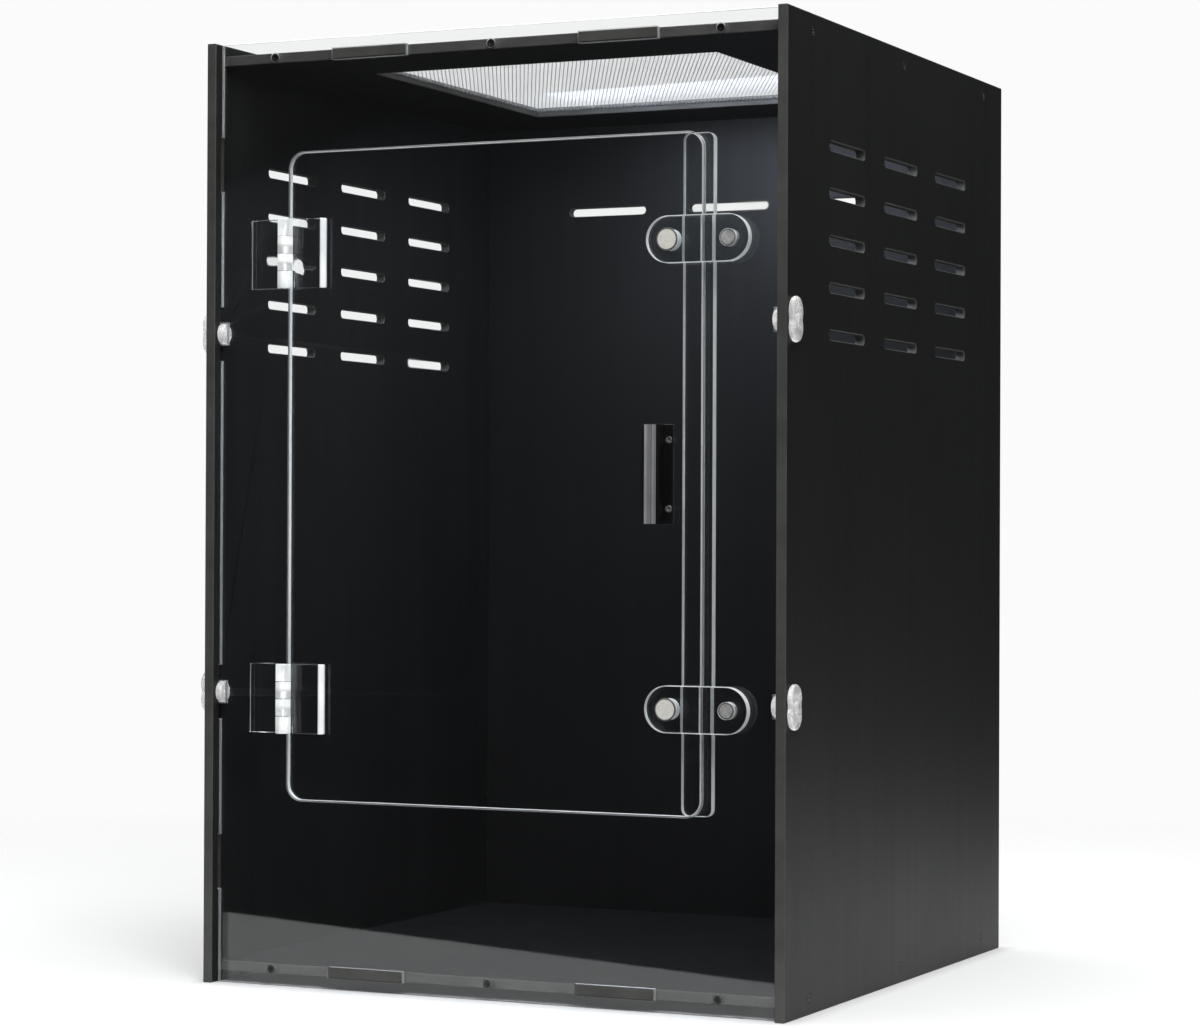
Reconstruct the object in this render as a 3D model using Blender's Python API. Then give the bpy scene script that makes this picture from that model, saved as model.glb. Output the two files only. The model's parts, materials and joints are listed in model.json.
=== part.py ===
"""Front-opening reptile terrarium: a flat-pack case of black PVC board with a clear acrylic front.

Two full-height side boards carry a back board, a roof with a mesh vent and a floor, all set in
from the side boards' ends.  The clear front sheet locks into the side boards with edge tabs, is
held by four thumbscrews, and carries a hinged door with two turning magnet latches.

Frame: metres, +Z up, the front faces -Y, the origin is under the middle of the whole object.
"""

import math

import bmesh
import bpy
from mathutils import Matrix, Vector

MM = 0.001

# Case
CASE_WIDTH = 400.0 * MM
CASE_DEPTH = 400.0 * MM
CASE_HEIGHT = 600.0 * MM
BOARD = 6.5 * MM
REVEAL = 7.0 * MM              # the front, back, roof and floor sit this far inside the side boards' ends
SHEET = 5.0 * MM               # thickness of every clear sheet
FIT = 0.3 * MM                 # gap between pieces that touch
EDGE_BREAK = 0.5 * MM          # small chamfer along the side boards' edges

# Tabs that locate the boards
DECK_TAB_WIDTH = 52.0 * MM
DECK_TAB_INSET = 114.0 * MM    # from the case's side to a tab's middle
SIDE_TAB_HEIGHT = 35.0 * MM
SIDE_TAB_DEPTH = 4.0 * MM
OUTER_TAB_INSET = 76.7 * MM    # from the case's top or bottom to a plain side tab's middle
SCREW_TAB_OFFSET = 114.6 * MM  # side tabs that take a thumbscrew, above and below mid-height

# Vent slots
SLOT_LENGTH = 61.0 * MM
SLOT_HEIGHT = 6.0 * MM
SLOT_PITCH_ALONG = 96.3 * MM
SLOT_PITCH_UP = 28.8 * MM
SLOT_COLUMNS = 3
SLOT_ROWS = 5
TOP_SLOT_DROP = 76.0 * MM      # from the case's top edge to the top row
SLOT_FORWARD = 4.8 * MM        # the side boards' slots sit this far ahead of mid-depth

# Roof vent
VENT_SIDE_MARGIN = 79.0 * MM   # from the case's side to the opening
VENT_END_MARGIN = 80.0 * MM    # from the case's front and back to the opening
REBATE_WIDTH = 8.0 * MM
REBATE_DEPTH = 3.2 * MM
MESH_THICKNESS = 0.6 * MM
MESH_BAR = 3.0 * MM            # width of the bars between the mesh's openings
MESH_CELLS = 8                 # openings each way in the plain grid that stands for the fine wires
MESH_FRAME_THICKNESS = 2.0 * MM

# Door
DOOR_SIDE_MARGIN = 57.5 * MM   # from the case's side to the door
DOOR_TOP_MARGIN = 71.8 * MM
DOOR_BOTTOM_MARGIN = 118.2 * MM
DOOR_CORNER = 10.0 * MM
DOOR_GAP = 0.6 * MM
STRIP_WIDTH = 20.0 * MM
STRIP_ON_SHEET = 6.0 * MM      # width of the stop strip that is bonded behind the fixed sheet
STRIP_CORNER = 4.5 * MM

# Hinges
PAIR_INSET = 64.2 * MM         # from the door's top or bottom to the middle of a hinge or latch
HINGE_HEIGHT = 44.0 * MM
LEAF_REACH = 27.5 * MM         # from the pin's axis to the leaf's outer edge
LEAF_THICKNESS = 3.6 * MM
LEAF_BEVEL = 2.8 * MM
BARREL_RADIUS = 4.8 * MM
PIN_RADIUS = 1.6 * MM
KNUCKLE_GAP = 0.5 * MM
KNUCKLES = 4

# Latches
LATCH_RADIUS = 14.2 * MM
LATCH_SPAN = 38.6 * MM         # from the post to the magnet
POST_INSET = 20.5 * MM         # from the door's free edge to the post
POST_RADIUS = 6.2 * MM
POST_CAP_RADIUS = 7.0 * MM
POST_CAP_HEIGHT = 0.8 * MM
MAGNET_RADIUS = 5.0 * MM
MAGNET_HEIGHT = 3.0 * MM

# Handle
HANDLE_LENGTH = 60.0 * MM
HANDLE_INSET = 17.5 * MM       # from the door's free edge to the flange's edge
HANDLE_WIDTH = 17.5 * MM
HANDLE_PROUD = 10.5 * MM
HANDLE_WALL = 2.0 * MM
HANDLE_FLANGE = 6.0 * MM       # width of the screwed flange beside the riser
HANDLE_CROWN = 4.0 * MM        # thickness of the hooked part
HANDLE_SHOULDER = 1.2 * MM
FLUTE_CENTRES = (9.5 * MM, 13.2 * MM)
FLUTE_HALF_WIDTH = 1.5 * MM
FLUTE_DEPTH = 0.9 * MM
HANDLE_SCREW_INSET = 9.35 * MM  # from the handle's ends to its screws

# Thumbscrews
SHANK_RADIUS = 2.5 * MM
LOBE_RADIUS = 8.5 * MM
LOBE_SPREAD = 5.2 * MM
HEAD_THICKNESS = 3.2 * MM
HEAD_EDGE = 0.8 * MM
HUB_RADIUS = 3.6 * MM
HUB_HEIGHT = 0.6 * MM
NUT_RADIUS = 6.8 * MM
NUT_HEIGHT = 4.0 * MM
NUT_EDGE = 1.2 * MM

# Countersunk screws
FRONT_SCREW_INSET = 46.0 * MM  # outer screws of the front and back, from the case's side
SIDE_SCREW_INSET = 40.0 * MM   # outer screws of the side boards, from the case's front and back
SCREW_LENGTH = 22.0 * MM
SCREW_RADIUS = 1.4 * MM
SCREW_HEAD_RADIUS = 2.7 * MM
SCREW_HEAD_HEIGHT = 1.6 * MM
SCREW_RIM = 0.4 * MM
HANDLE_SCREW_LENGTH = 6.2 * MM
HANDLE_SCREW_HEAD_RADIUS = 2.3 * MM

# Facets
DISC_SIDES = 26
TURNED_SIDES = 18
SCREW_SIDES = 8
CORNER_STEPS = 5
SLOT_END_STEPS = 3
LATCH_END_STEPS = 9
BARREL_STEPS = 18
LOBE_STEPS = 11
FLUTE_STEPS = 4
HOOK_END_STEPS = 6
SMOOTH_ANGLE = math.radians(35)

# Places worked out from the sizes above
DEPTH_SHIFT = (HANDLE_PROUD + FIT - REVEAL) / 2
FRONT_Y = DEPTH_SHIFT - CASE_DEPTH / 2
BACK_Y = DEPTH_SHIFT + CASE_DEPTH / 2
INNER_X = CASE_WIDTH / 2 - BOARD
BETWEEN_X = INNER_X - FIT
TAB_X = INNER_X + SIDE_TAB_DEPTH
SHEET_FRONT = FRONT_Y + REVEAL
SHEET_BACK = SHEET_FRONT + SHEET
SHEET_MIDDLE = (SHEET_FRONT + SHEET_BACK) / 2
BACK_OUTSIDE = BACK_Y - REVEAL
BACK_INSIDE = BACK_OUTSIDE - BOARD
MID_HEIGHT = CASE_HEIGHT / 2
DECK_TAB_OFFSET = CASE_WIDTH / 2 - DECK_TAB_INSET
OUTER_TAB_OFFSET = CASE_HEIGHT / 2 - OUTER_TAB_INSET
VENT_WIDTH = CASE_WIDTH - 2 * VENT_SIDE_MARGIN
VENT_DEPTH = CASE_DEPTH - 2 * VENT_END_MARGIN
DOOR_WIDTH = CASE_WIDTH - 2 * DOOR_SIDE_MARGIN
DOOR_HEIGHT = CASE_HEIGHT - DOOR_TOP_MARGIN - DOOR_BOTTOM_MARGIN
DOOR_MIDDLE = DOOR_BOTTOM_MARGIN + DOOR_HEIGHT / 2
PAIR_OFFSET = DOOR_HEIGHT / 2 - PAIR_INSET
FRONT_SCREW_OFFSET = CASE_WIDTH / 2 - FRONT_SCREW_INSET
SIDE_SCREW_OFFSET = CASE_DEPTH / 2 - SIDE_SCREW_INSET
ROOF_BOTTOM = CASE_HEIGHT - REVEAL - BOARD
ROOF_TOP = ROOF_BOTTOM + BOARD
FLOOR_BOTTOM = REVEAL
DECK_MIDDLES = {"top": ROOF_BOTTOM + BOARD / 2, "bottom": FLOOR_BOTTOM + BOARD / 2}
TOP_SLOT_Z = CASE_HEIGHT - TOP_SLOT_DROP
FITTING_BACK = SHEET_FRONT - FIT
LATCH_FRONT = FITTING_BACK - SHEET
HINGE_AXIS = Vector((-(DOOR_WIDTH + DOOR_GAP) / 2, FITTING_BACK - BARREL_RADIUS, DOOR_MIDDLE))
POST_X = DOOR_WIDTH / 2 - POST_INSET
MAGNET_X = POST_X + LATCH_SPAN
LEVELS = {"upper": 1, "lower": -1}
SIDES = {"left": -1, "right": 1}

ORIGIN = Vector((0, 0, 0))
X_AXIS = Vector((1, 0, 0))
Y_AXIS = Vector((0, 1, 0))
Z_AXIS = Vector((0, 0, 1))


def clear_scene():
    """Removes whatever the file held before."""
    for thing in list(bpy.data.objects):
        bpy.data.objects.remove(thing, do_unlink=True)


def make_material(name, colour, roughness, metallic=0.0, transmission=0.0):
    """One surface finish."""
    material = bpy.data.materials.new(name)
    material.use_nodes = True
    shader = material.node_tree.nodes["Principled BSDF"]
    shader.inputs["Base Color"].default_value = (*colour, 1.0)
    shader.inputs["Roughness"].default_value = roughness
    shader.inputs["Metallic"].default_value = metallic
    shader.inputs["Transmission Weight"].default_value = transmission
    material.diffuse_color = (*colour, 1.0)
    material.roughness = roughness
    material.metallic = metallic
    return material


def pvc(name):
    """Black rigid PVC board."""
    return make_material(name + "_pvc", (0.018, 0.019, 0.020), 0.45)


def acrylic(name):
    """Clear acrylic."""
    return make_material(name + "_acrylic", (0.93, 0.95, 0.96), 0.05, transmission=0.9)


def steel(name):
    """Bright steel."""
    return make_material(name + "_steel", (0.62, 0.62, 0.60), 0.28, metallic=1.0)


def black_metal(name):
    """Black coated metal."""
    return make_material(name + "_black", (0.030, 0.030, 0.033), 0.35, metallic=0.8)


def point_of(thing):
    """Where an object's origin lies in the case's frame; no parent is turned."""
    point = ORIGIN.copy()
    while thing:
        point += thing.location
        thing = thing.parent
    return point


def put(thing, point, parent):
    """Links an object and sets its origin at a point of the case's frame."""
    bpy.context.scene.collection.objects.link(thing)
    thing.parent = parent
    thing.location = point - point_of(parent)
    return thing


def pivot(name, point, parent=None):
    """An empty that stands on a joint's axis and carries what turns there."""
    return put(bpy.data.objects.new(name, None), point, parent)


def finished_mesh(name, bm, material, smooth):
    """Turns a bmesh into a mesh with its material and shading."""
    mesh = bpy.data.meshes.new(name)
    bm.to_mesh(mesh)
    bm.free()
    mesh.materials.append(material)
    if smooth:
        mesh.shade_smooth()
        mesh.set_sharp_from_angle(angle=SMOOTH_ANGLE)
    return mesh


def add_object(name, bm, material, origin=ORIGIN, parent=None, smooth=False):
    """Turns a bmesh drawn in the case's frame into an object whose origin is at the given point."""
    bmesh.ops.recalc_face_normals(bm, faces=bm.faces[:])
    bmesh.ops.translate(bm, verts=bm.verts[:], vec=-origin)
    mesh = finished_mesh(name, bm, material, smooth)
    return put(bpy.data.objects.new(name, mesh), origin, parent)


def combine(thing, bm, operation):
    """Cuts the closed shapes of a bmesh out of an object, or joins them to it."""
    name = thing.name + "_" + operation.lower() + str(len(thing.modifiers))
    tool = add_object(name, bm, thing.data.materials[0])
    tool.hide_render = True
    tool.display_type = "WIRE"
    boolean = thing.modifiers.new(name, "BOOLEAN")
    boolean.operation = operation
    boolean.solver = "EXACT"
    boolean.object = tool


def cut(thing, bm):
    """Cuts the closed shapes of a bmesh out of an object."""
    combine(thing, bm, "DIFFERENCE")


def add_box(bm, low, high):
    """A cuboid between two opposite corners, given in any order."""
    middle = [(a + b) / 2 for a, b in zip(low, high)]
    size = [abs(b - a) for a, b in zip(low, high)]
    bmesh.ops.create_cube(bm, size=1, matrix=Matrix.Translation(middle) @ Matrix.Diagonal((*size, 1)))


def add_prism(bm, outline, axis, start, end):
    """Extrudes an outline of two coordinates along the third axis."""
    def along(a, b, c):
        return {"x": (c, a, b), "y": (a, c, b), "z": (a, b, c)}[axis]

    face = bm.faces.new([bm.verts.new(along(a, b, start)) for a, b in outline])
    moved = bmesh.ops.extrude_face_region(bm, geom=[face])["geom"]
    moved = [part for part in moved if isinstance(part, bmesh.types.BMVert)]
    bmesh.ops.translate(bm, verts=moved, vec=along(0, 0, end - start))


def add_turned(bm, profile, point, axis, sides, bored=False):
    """Turns a profile of (distance along, radius) about an axis through a point.

    A plain profile is capped at both ends.  A bored one closes on itself and leaves a hole.
    """
    turn = Z_AXIS.rotation_difference(axis).to_matrix()
    angles = [2 * math.pi * (i + 0.5) / sides for i in range(sides)]
    rings = []
    for along, radius in profile:
        ring = [Vector((radius * math.cos(a), radius * math.sin(a), along)) for a in angles]
        rings.append([bm.verts.new(turn @ corner + point) for corner in ring])
    pairs = list(zip(rings, rings[1:]))
    if bored:
        pairs.append((rings[-1], rings[0]))
    else:
        bm.faces.new(rings[0])
        bm.faces.new(rings[-1])
    for lower, upper in pairs:
        for i in range(sides):
            j = (i + 1) % sides
            bm.faces.new((lower[i], lower[j], upper[j], upper[i]))


def add_rod(bm, radius, point, axis, length, sides):
    """A plain cylinder from a point along an axis."""
    add_turned(bm, [(0, radius), (length, radius)], point, axis, sides)


def without_doubles(points):
    """Drops each point that lies on the one before it."""
    return [p for i, p in enumerate(points) if math.dist(p, points[i - 1]) > FIT / 100]


def rounded_rectangle(width, height, radius, centre, steps=CORNER_STEPS):
    """The outline of a rectangle with round corners, counter-clockwise."""
    points = []
    for quarter, (side_a, side_b) in enumerate(((1, 1), (-1, 1), (-1, -1), (1, -1))):
        middle_a = centre[0] + side_a * (width / 2 - radius)
        middle_b = centre[1] + side_b * (height / 2 - radius)
        for step in range(steps + 1):
            angle = (quarter + step / steps) * math.pi / 2
            points.append((middle_a + radius * math.cos(angle), middle_b + radius * math.sin(angle)))
    return without_doubles(points)


def slot_outline(along, up):
    """One vent slot with round ends."""
    return rounded_rectangle(SLOT_LENGTH, SLOT_HEIGHT, SLOT_HEIGHT / 2, (along, up), SLOT_END_STEPS)


def slot_columns(middle):
    """The middles of the vent slots in one row."""
    return [middle + (i - (SLOT_COLUMNS - 1) / 2) * SLOT_PITCH_ALONG for i in range(SLOT_COLUMNS)]


def side_tab_heights():
    """The middles of the tabs on each upright edge of the front sheet and of the back board."""
    offsets = (-OUTER_TAB_OFFSET, -SCREW_TAB_OFFSET, SCREW_TAB_OFFSET, OUTER_TAB_OFFSET)
    return [MID_HEIGHT + offset for offset in offsets]


def add_screw(bm, point, inward, clearance=0.0, length=SCREW_LENGTH, head=SCREW_HEAD_RADIUS):
    """A countersunk screw with its head flush at a point; with a clearance, the hole that takes it."""
    profile = [
        (-clearance, head + clearance),
        (SCREW_RIM, head + clearance),
        (SCREW_HEAD_HEIGHT + clearance, SCREW_RADIUS + clearance),
        (length + clearance, SCREW_RADIUS + clearance),
    ]
    add_turned(bm, profile, point, inward, SCREW_SIDES)


def screw_places(face):
    """The screws of one face of the case: a name, the middle of the head and the way it goes in."""
    places = {}
    for deck, z in DECK_MIDDLES.items():
        for step in (-1, 0, 1):
            if face == "front":
                across = ("left", "middle", "right")[step + 1]
                start = Vector((step * FRONT_SCREW_OFFSET, SHEET_FRONT, z))
                inward = Y_AXIS
            elif face == "back":
                across = ("left", "middle", "right")[step + 1]
                start = Vector((step * FRONT_SCREW_OFFSET, BACK_OUTSIDE, z))
                inward = -Y_AXIS
            else:
                across = ("front", "middle", "rear")[step + 1]
                start = Vector((SIDES[face] * CASE_WIDTH / 2, DEPTH_SHIFT + step * SIDE_SCREW_OFFSET, z))
                inward = -SIDES[face] * X_AXIS
            places["_".join(("screw", face, deck, across))] = (start, inward)
    return places


def add_screw_holes(bm, face):
    """The holes for all the screws of one face."""
    for point, inward in screw_places(face).values():
        add_screw(bm, point, inward, FIT)


def make_side_panel(side):
    """A full-height board with vent slots, blind pockets for the tabs, and holes for the screws."""
    sign = SIDES[side]
    outer_x = sign * CASE_WIDTH / 2
    board = bmesh.new()
    add_box(board, (sign * INNER_X, FRONT_Y, 0), (outer_x, BACK_Y, CASE_HEIGHT))
    bmesh.ops.bevel(board, geom=board.edges[:], offset=EDGE_BREAK, segments=1, affect="EDGES")
    panel = add_object("side_panel_" + side, board, pvc("side_" + side))

    holes = bmesh.new()
    for along in slot_columns(DEPTH_SHIFT - SLOT_FORWARD):
        for row in range(SLOT_ROWS):
            outline = slot_outline(along, TOP_SLOT_Z - row * SLOT_PITCH_UP)
            add_prism(holes, outline, "x", outer_x - BOARD * sign * 2, outer_x + BOARD * sign)
    for level in LEVELS.values():
        start = Vector((outer_x + sign * BOARD, SHEET_MIDDLE, MID_HEIGHT + level * SCREW_TAB_OFFSET))
        add_rod(holes, SHANK_RADIUS + FIT, start, -sign * X_AXIS, 3 * BOARD, TURNED_SIDES)
    add_screw_holes(holes, side)
    cut(panel, holes)

    pockets = bmesh.new()
    half = SIDE_TAB_HEIGHT / 2 + FIT
    for front, back in ((SHEET_FRONT, SHEET_BACK), (BACK_INSIDE, BACK_OUTSIDE)):
        for z in side_tab_heights():
            add_box(pockets, (sign * (INNER_X - BOARD), front - FIT, z - half),
                    (sign * (TAB_X + FIT), back + FIT, z + half))
    cut(panel, pockets)


def deck_outline():
    """The roof's and the floor's outline: two tabs forward and two back."""
    front = SHEET_BACK + FIT
    back = BACK_INSIDE - FIT
    near = DECK_TAB_OFFSET - DECK_TAB_WIDTH / 2
    far = DECK_TAB_OFFSET + DECK_TAB_WIDTH / 2
    front_edge = [(-BETWEEN_X, front)]
    back_edge = [(BETWEEN_X, back)]
    for left, right in ((-far, -near), (near, far)):
        front_edge += [(left, front), (left, SHEET_FRONT), (right, SHEET_FRONT), (right, front)]
        back_edge += [(-left, back), (-left, BACK_OUTSIDE), (-right, BACK_OUTSIDE), (-right, back)]
    return front_edge + [(BETWEEN_X, front)] + back_edge + [(-BETWEEN_X, back)]


def make_deck(name, bottom):
    """The roof or the floor: a tabbed board with screw holes in its edges."""
    board = bmesh.new()
    add_prism(board, deck_outline(), "z", bottom, bottom + BOARD)
    deck = add_object(name, board, pvc(name))
    holes = bmesh.new()
    for face in ("front", "back", "left", "right"):
        add_screw_holes(holes, face)
    cut(deck, holes)
    return deck


def add_vent_box(bm, margin, bottom, top):
    """A cuboid over the roof vent, wider than the opening by a margin on every side."""
    half_x = VENT_WIDTH / 2 + margin
    half_y = VENT_DEPTH / 2 + margin
    add_box(bm, (-half_x, DEPTH_SHIFT - half_y, bottom), (half_x, DEPTH_SHIFT + half_y, top))


def grid_cells(middle, span):
    """Where each opening of the mesh starts and ends along one of its sides."""
    cell = (span - (MESH_CELLS - 1) * MESH_BAR) / MESH_CELLS
    starts = [middle - span / 2 + i * (cell + MESH_BAR) for i in range(MESH_CELLS)]
    return [(start, start + cell) for start in starts]


def make_vent_mesh(bottom):
    """The mesh over the vent: a thin sheet with a grid of openings inside a rim that the frame holds."""
    sheet = bmesh.new()
    add_vent_box(sheet, REBATE_WIDTH - FIT, bottom, bottom + MESH_THICKNESS)
    metal = make_material("vent_mesh_metal", (0.72, 0.73, 0.76), 0.4, 0.8)
    mesh = add_object("vent_mesh", sheet, metal)
    openings = bmesh.new()
    for left, right in grid_cells(0, VENT_WIDTH):
        for front, back in grid_cells(DEPTH_SHIFT, VENT_DEPTH):
            add_box(openings, (left, front, bottom - BOARD), (right, back, bottom + BOARD))
    cut(mesh, openings)


def make_roof():
    """The roof's vent opening and rebate, the mesh that lies in the rebate, and its retaining frame."""
    roof = make_deck("top_panel", ROOF_BOTTOM)
    opening = bmesh.new()
    add_vent_box(opening, 0, ROOF_BOTTOM - BOARD, ROOF_TOP + BOARD)
    cut(roof, opening)
    rebate = bmesh.new()
    add_vent_box(rebate, REBATE_WIDTH, ROOF_TOP - REBATE_DEPTH, ROOF_TOP + BOARD)
    cut(roof, rebate)

    mesh_bottom = ROOF_TOP - REBATE_DEPTH + FIT
    make_vent_mesh(mesh_bottom)

    ring = bmesh.new()
    frame_bottom = mesh_bottom + MESH_THICKNESS + FIT
    add_vent_box(ring, REBATE_WIDTH - FIT, frame_bottom, frame_bottom + MESH_FRAME_THICKNESS)
    frame = add_object("mesh_frame", ring, pvc("mesh_frame"))
    hole = bmesh.new()
    add_vent_box(hole, 0, ROOF_BOTTOM, ROOF_TOP + BOARD)
    cut(frame, hole)


def tabbed_sheet_outline():
    """A full-height sheet between the side boards with four tabs on each upright edge."""
    edge = [(BETWEEN_X, 0)]
    for middle in side_tab_heights():
        low = middle - SIDE_TAB_HEIGHT / 2
        high = middle + SIDE_TAB_HEIGHT / 2
        edge += [(BETWEEN_X, low), (TAB_X, low), (TAB_X, high), (BETWEEN_X, high)]
    edge.append((BETWEEN_X, CASE_HEIGHT))
    return edge + [(-x, z) for x, z in reversed(edge)]


def add_deck_tab_holes(bm, front, back):
    """The four rectangular holes in an upright sheet that the roof's and the floor's tabs fill."""
    half_x = DECK_TAB_WIDTH / 2 + FIT
    half_z = BOARD / 2 + FIT
    for z in DECK_MIDDLES.values():
        for x in (-DECK_TAB_OFFSET, DECK_TAB_OFFSET):
            add_box(bm, (x - half_x, front - SHEET, z - half_z), (x + half_x, back + SHEET, z + half_z))


def make_back_panel():
    """The back board, tabbed into the side boards, with one row of vent slots."""
    board = bmesh.new()
    add_prism(board, tabbed_sheet_outline(), "y", BACK_INSIDE, BACK_OUTSIDE)
    panel = add_object("back_panel", board, pvc("back"))
    holes = bmesh.new()
    for along in slot_columns(0):
        add_prism(holes, slot_outline(along, TOP_SLOT_Z), "y", BACK_INSIDE - BOARD, BACK_OUTSIDE + BOARD)
    add_screw_holes(holes, "back")
    add_deck_tab_holes(holes, BACK_INSIDE, BACK_OUTSIDE)
    cut(panel, holes)


def nut_notch(sign, z):
    """The notch through a side tab of the front sheet: narrow for the shank, wide for the nut."""
    outer = sign * CASE_WIDTH / 2
    shoulder = sign * INNER_X
    inner = sign * (INNER_X - NUT_HEIGHT - 2 * FIT)
    narrow = SHANK_RADIUS + FIT
    wide = NUT_RADIUS + FIT
    upper = [(outer, z + narrow), (shoulder, z + narrow), (shoulder, z + wide), (inner, z + wide)]
    return upper + [(x, 2 * z - height) for x, height in reversed(upper)]


def make_front_panel():
    """The clear front sheet with its doorway, tab holes, screw holes, nut notches and keeper holes."""
    sheet = bmesh.new()
    add_prism(sheet, tabbed_sheet_outline(), "y", SHEET_FRONT, SHEET_BACK)
    panel = add_object("front_panel", sheet, acrylic("front"))
    holes = bmesh.new()
    doorway = rounded_rectangle(DOOR_WIDTH + 2 * DOOR_GAP, DOOR_HEIGHT + 2 * DOOR_GAP,
                                DOOR_CORNER + DOOR_GAP, (0, DOOR_MIDDLE))
    add_prism(holes, doorway, "y", SHEET_FRONT - SHEET, SHEET_BACK + SHEET)
    for level in LEVELS.values():
        for sign in SIDES.values():
            notch = nut_notch(sign, MID_HEIGHT + level * SCREW_TAB_OFFSET)
            add_prism(holes, notch, "y", SHEET_FRONT - SHEET, SHEET_BACK + SHEET)
        keeper = Vector((MAGNET_X, SHEET_FRONT - SHEET, DOOR_MIDDLE + level * PAIR_OFFSET))
        add_rod(holes, MAGNET_RADIUS + FIT, keeper, Y_AXIS, 3 * SHEET, DISC_SIDES)
    add_screw_holes(holes, "front")
    add_deck_tab_holes(holes, SHEET_FRONT, SHEET_BACK)
    cut(panel, holes)


def make_stop_strip():
    """The clear strip behind the doorway's latch side that the door closes against."""
    middle_x = DOOR_WIDTH / 2 + STRIP_ON_SHEET - STRIP_WIDTH / 2
    outline = rounded_rectangle(STRIP_WIDTH, DOOR_HEIGHT, STRIP_CORNER, (middle_x, DOOR_MIDDLE))
    strip = bmesh.new()
    add_prism(strip, outline, "y", SHEET_BACK + FIT, SHEET_BACK + FIT + SHEET)
    add_object("door_stop_strip", strip, acrylic("strip"))


def handle_screw_place(level):
    """The middle of one handle screw's head, on the front of the handle's flange."""
    x = DOOR_WIDTH / 2 - HANDLE_INSET - HANDLE_FLANGE / 2
    z = DOOR_MIDDLE + LEVELS[level] * (HANDLE_LENGTH / 2 - HANDLE_SCREW_INSET)
    return Vector((x, FITTING_BACK - HANDLE_WALL, z))


def add_handle_screw_holes(bm):
    """The holes for the handle's screws."""
    for level in LEVELS:
        add_screw(bm, handle_screw_place(level), Y_AXIS, FIT, HANDLE_SCREW_LENGTH, HANDLE_SCREW_HEAD_RADIUS)


def make_door_panel(door_axis):
    """The clear door with holes for the latch posts and the handle's screws."""
    sheet = bmesh.new()
    outline = rounded_rectangle(DOOR_WIDTH, DOOR_HEIGHT, DOOR_CORNER, (0, DOOR_MIDDLE))
    add_prism(sheet, outline, "y", SHEET_FRONT, SHEET_BACK)
    door = add_object("door_panel", sheet, acrylic("door"), HINGE_AXIS, door_axis)
    holes = bmesh.new()
    for level in LEVELS.values():
        post = Vector((POST_X, SHEET_FRONT - SHEET, DOOR_MIDDLE + level * PAIR_OFFSET))
        add_rod(holes, POST_RADIUS + FIT, post, Y_AXIS, 3 * SHEET, DISC_SIDES)
    add_handle_screw_holes(holes)
    cut(door, holes)


def handle_section():
    """The handle's section as (distance from the flange's edge, height off the door)."""
    points = [
        (0, 0),
        (0, HANDLE_WALL),
        (HANDLE_FLANGE, HANDLE_WALL),
        (HANDLE_FLANGE, HANDLE_PROUD - HANDLE_SHOULDER),
        (HANDLE_FLANGE + HANDLE_SHOULDER, HANDLE_PROUD),
    ]
    for centre in FLUTE_CENTRES:
        for step in range(FLUTE_STEPS + 1):
            t = 2 * step / FLUTE_STEPS - 1
            points.append((centre + t * FLUTE_HALF_WIDTH, HANDLE_PROUD - FLUTE_DEPTH * (1 - t * t)))
    radius = HANDLE_CROWN / 2
    for step in range(HOOK_END_STEPS + 1):
        angle = math.pi / 2 - math.pi * step / HOOK_END_STEPS
        points.append((HANDLE_WIDTH - radius + radius * math.cos(angle),
                       HANDLE_PROUD - radius + radius * math.sin(angle)))
    riser = HANDLE_FLANGE + HANDLE_WALL
    return points + [(riser, HANDLE_PROUD - HANDLE_CROWN), (riser, 0)]


def make_handle(door_axis):
    """The black extruded pull, a screwed flange with a fluted hook, and its two screws."""
    centre = Vector((HINGE_AXIS.x, HINGE_AXIS.y, DOOR_MIDDLE))
    edge_x = DOOR_WIDTH / 2 - HANDLE_INSET
    outline = [(edge_x - u, FITTING_BACK - p) for u, p in handle_section()]
    bar = bmesh.new()
    add_prism(bar, outline, "z", DOOR_MIDDLE - HANDLE_LENGTH / 2, DOOR_MIDDLE + HANDLE_LENGTH / 2)
    handle = add_object("door_handle", bar, black_metal("handle"), centre, door_axis)
    holes = bmesh.new()
    add_handle_screw_holes(holes)
    cut(handle, holes)
    mesh = screw_mesh("handle_screw", HANDLE_SCREW_LENGTH, HANDLE_SCREW_HEAD_RADIUS)
    for level in LEVELS:
        put_screw("handle_screw_" + level, mesh, handle_screw_place(level), Y_AXIS, door_axis)


def leaf_section(sign):
    """A hinge leaf and its barrel in plan: the strip runs tangent to the barrel along the back."""
    front = BARREL_RADIUS - LEAF_THICKNESS
    start = math.pi / 2
    end = 2 * math.pi + math.asin(front / BARREL_RADIUS)
    points = [(LEAF_REACH, BARREL_RADIUS)]
    for step in range(BARREL_STEPS + 1):
        angle = start + (end - start) * step / BARREL_STEPS
        points.append((BARREL_RADIUS * math.cos(angle), BARREL_RADIUS * math.sin(angle)))
    points += [(LEAF_REACH - LEAF_BEVEL, front), (LEAF_REACH, front + LEAF_BEVEL)]
    return [(HINGE_AXIS.x + sign * x, HINGE_AXIS.y + y) for x, y in points]


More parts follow.
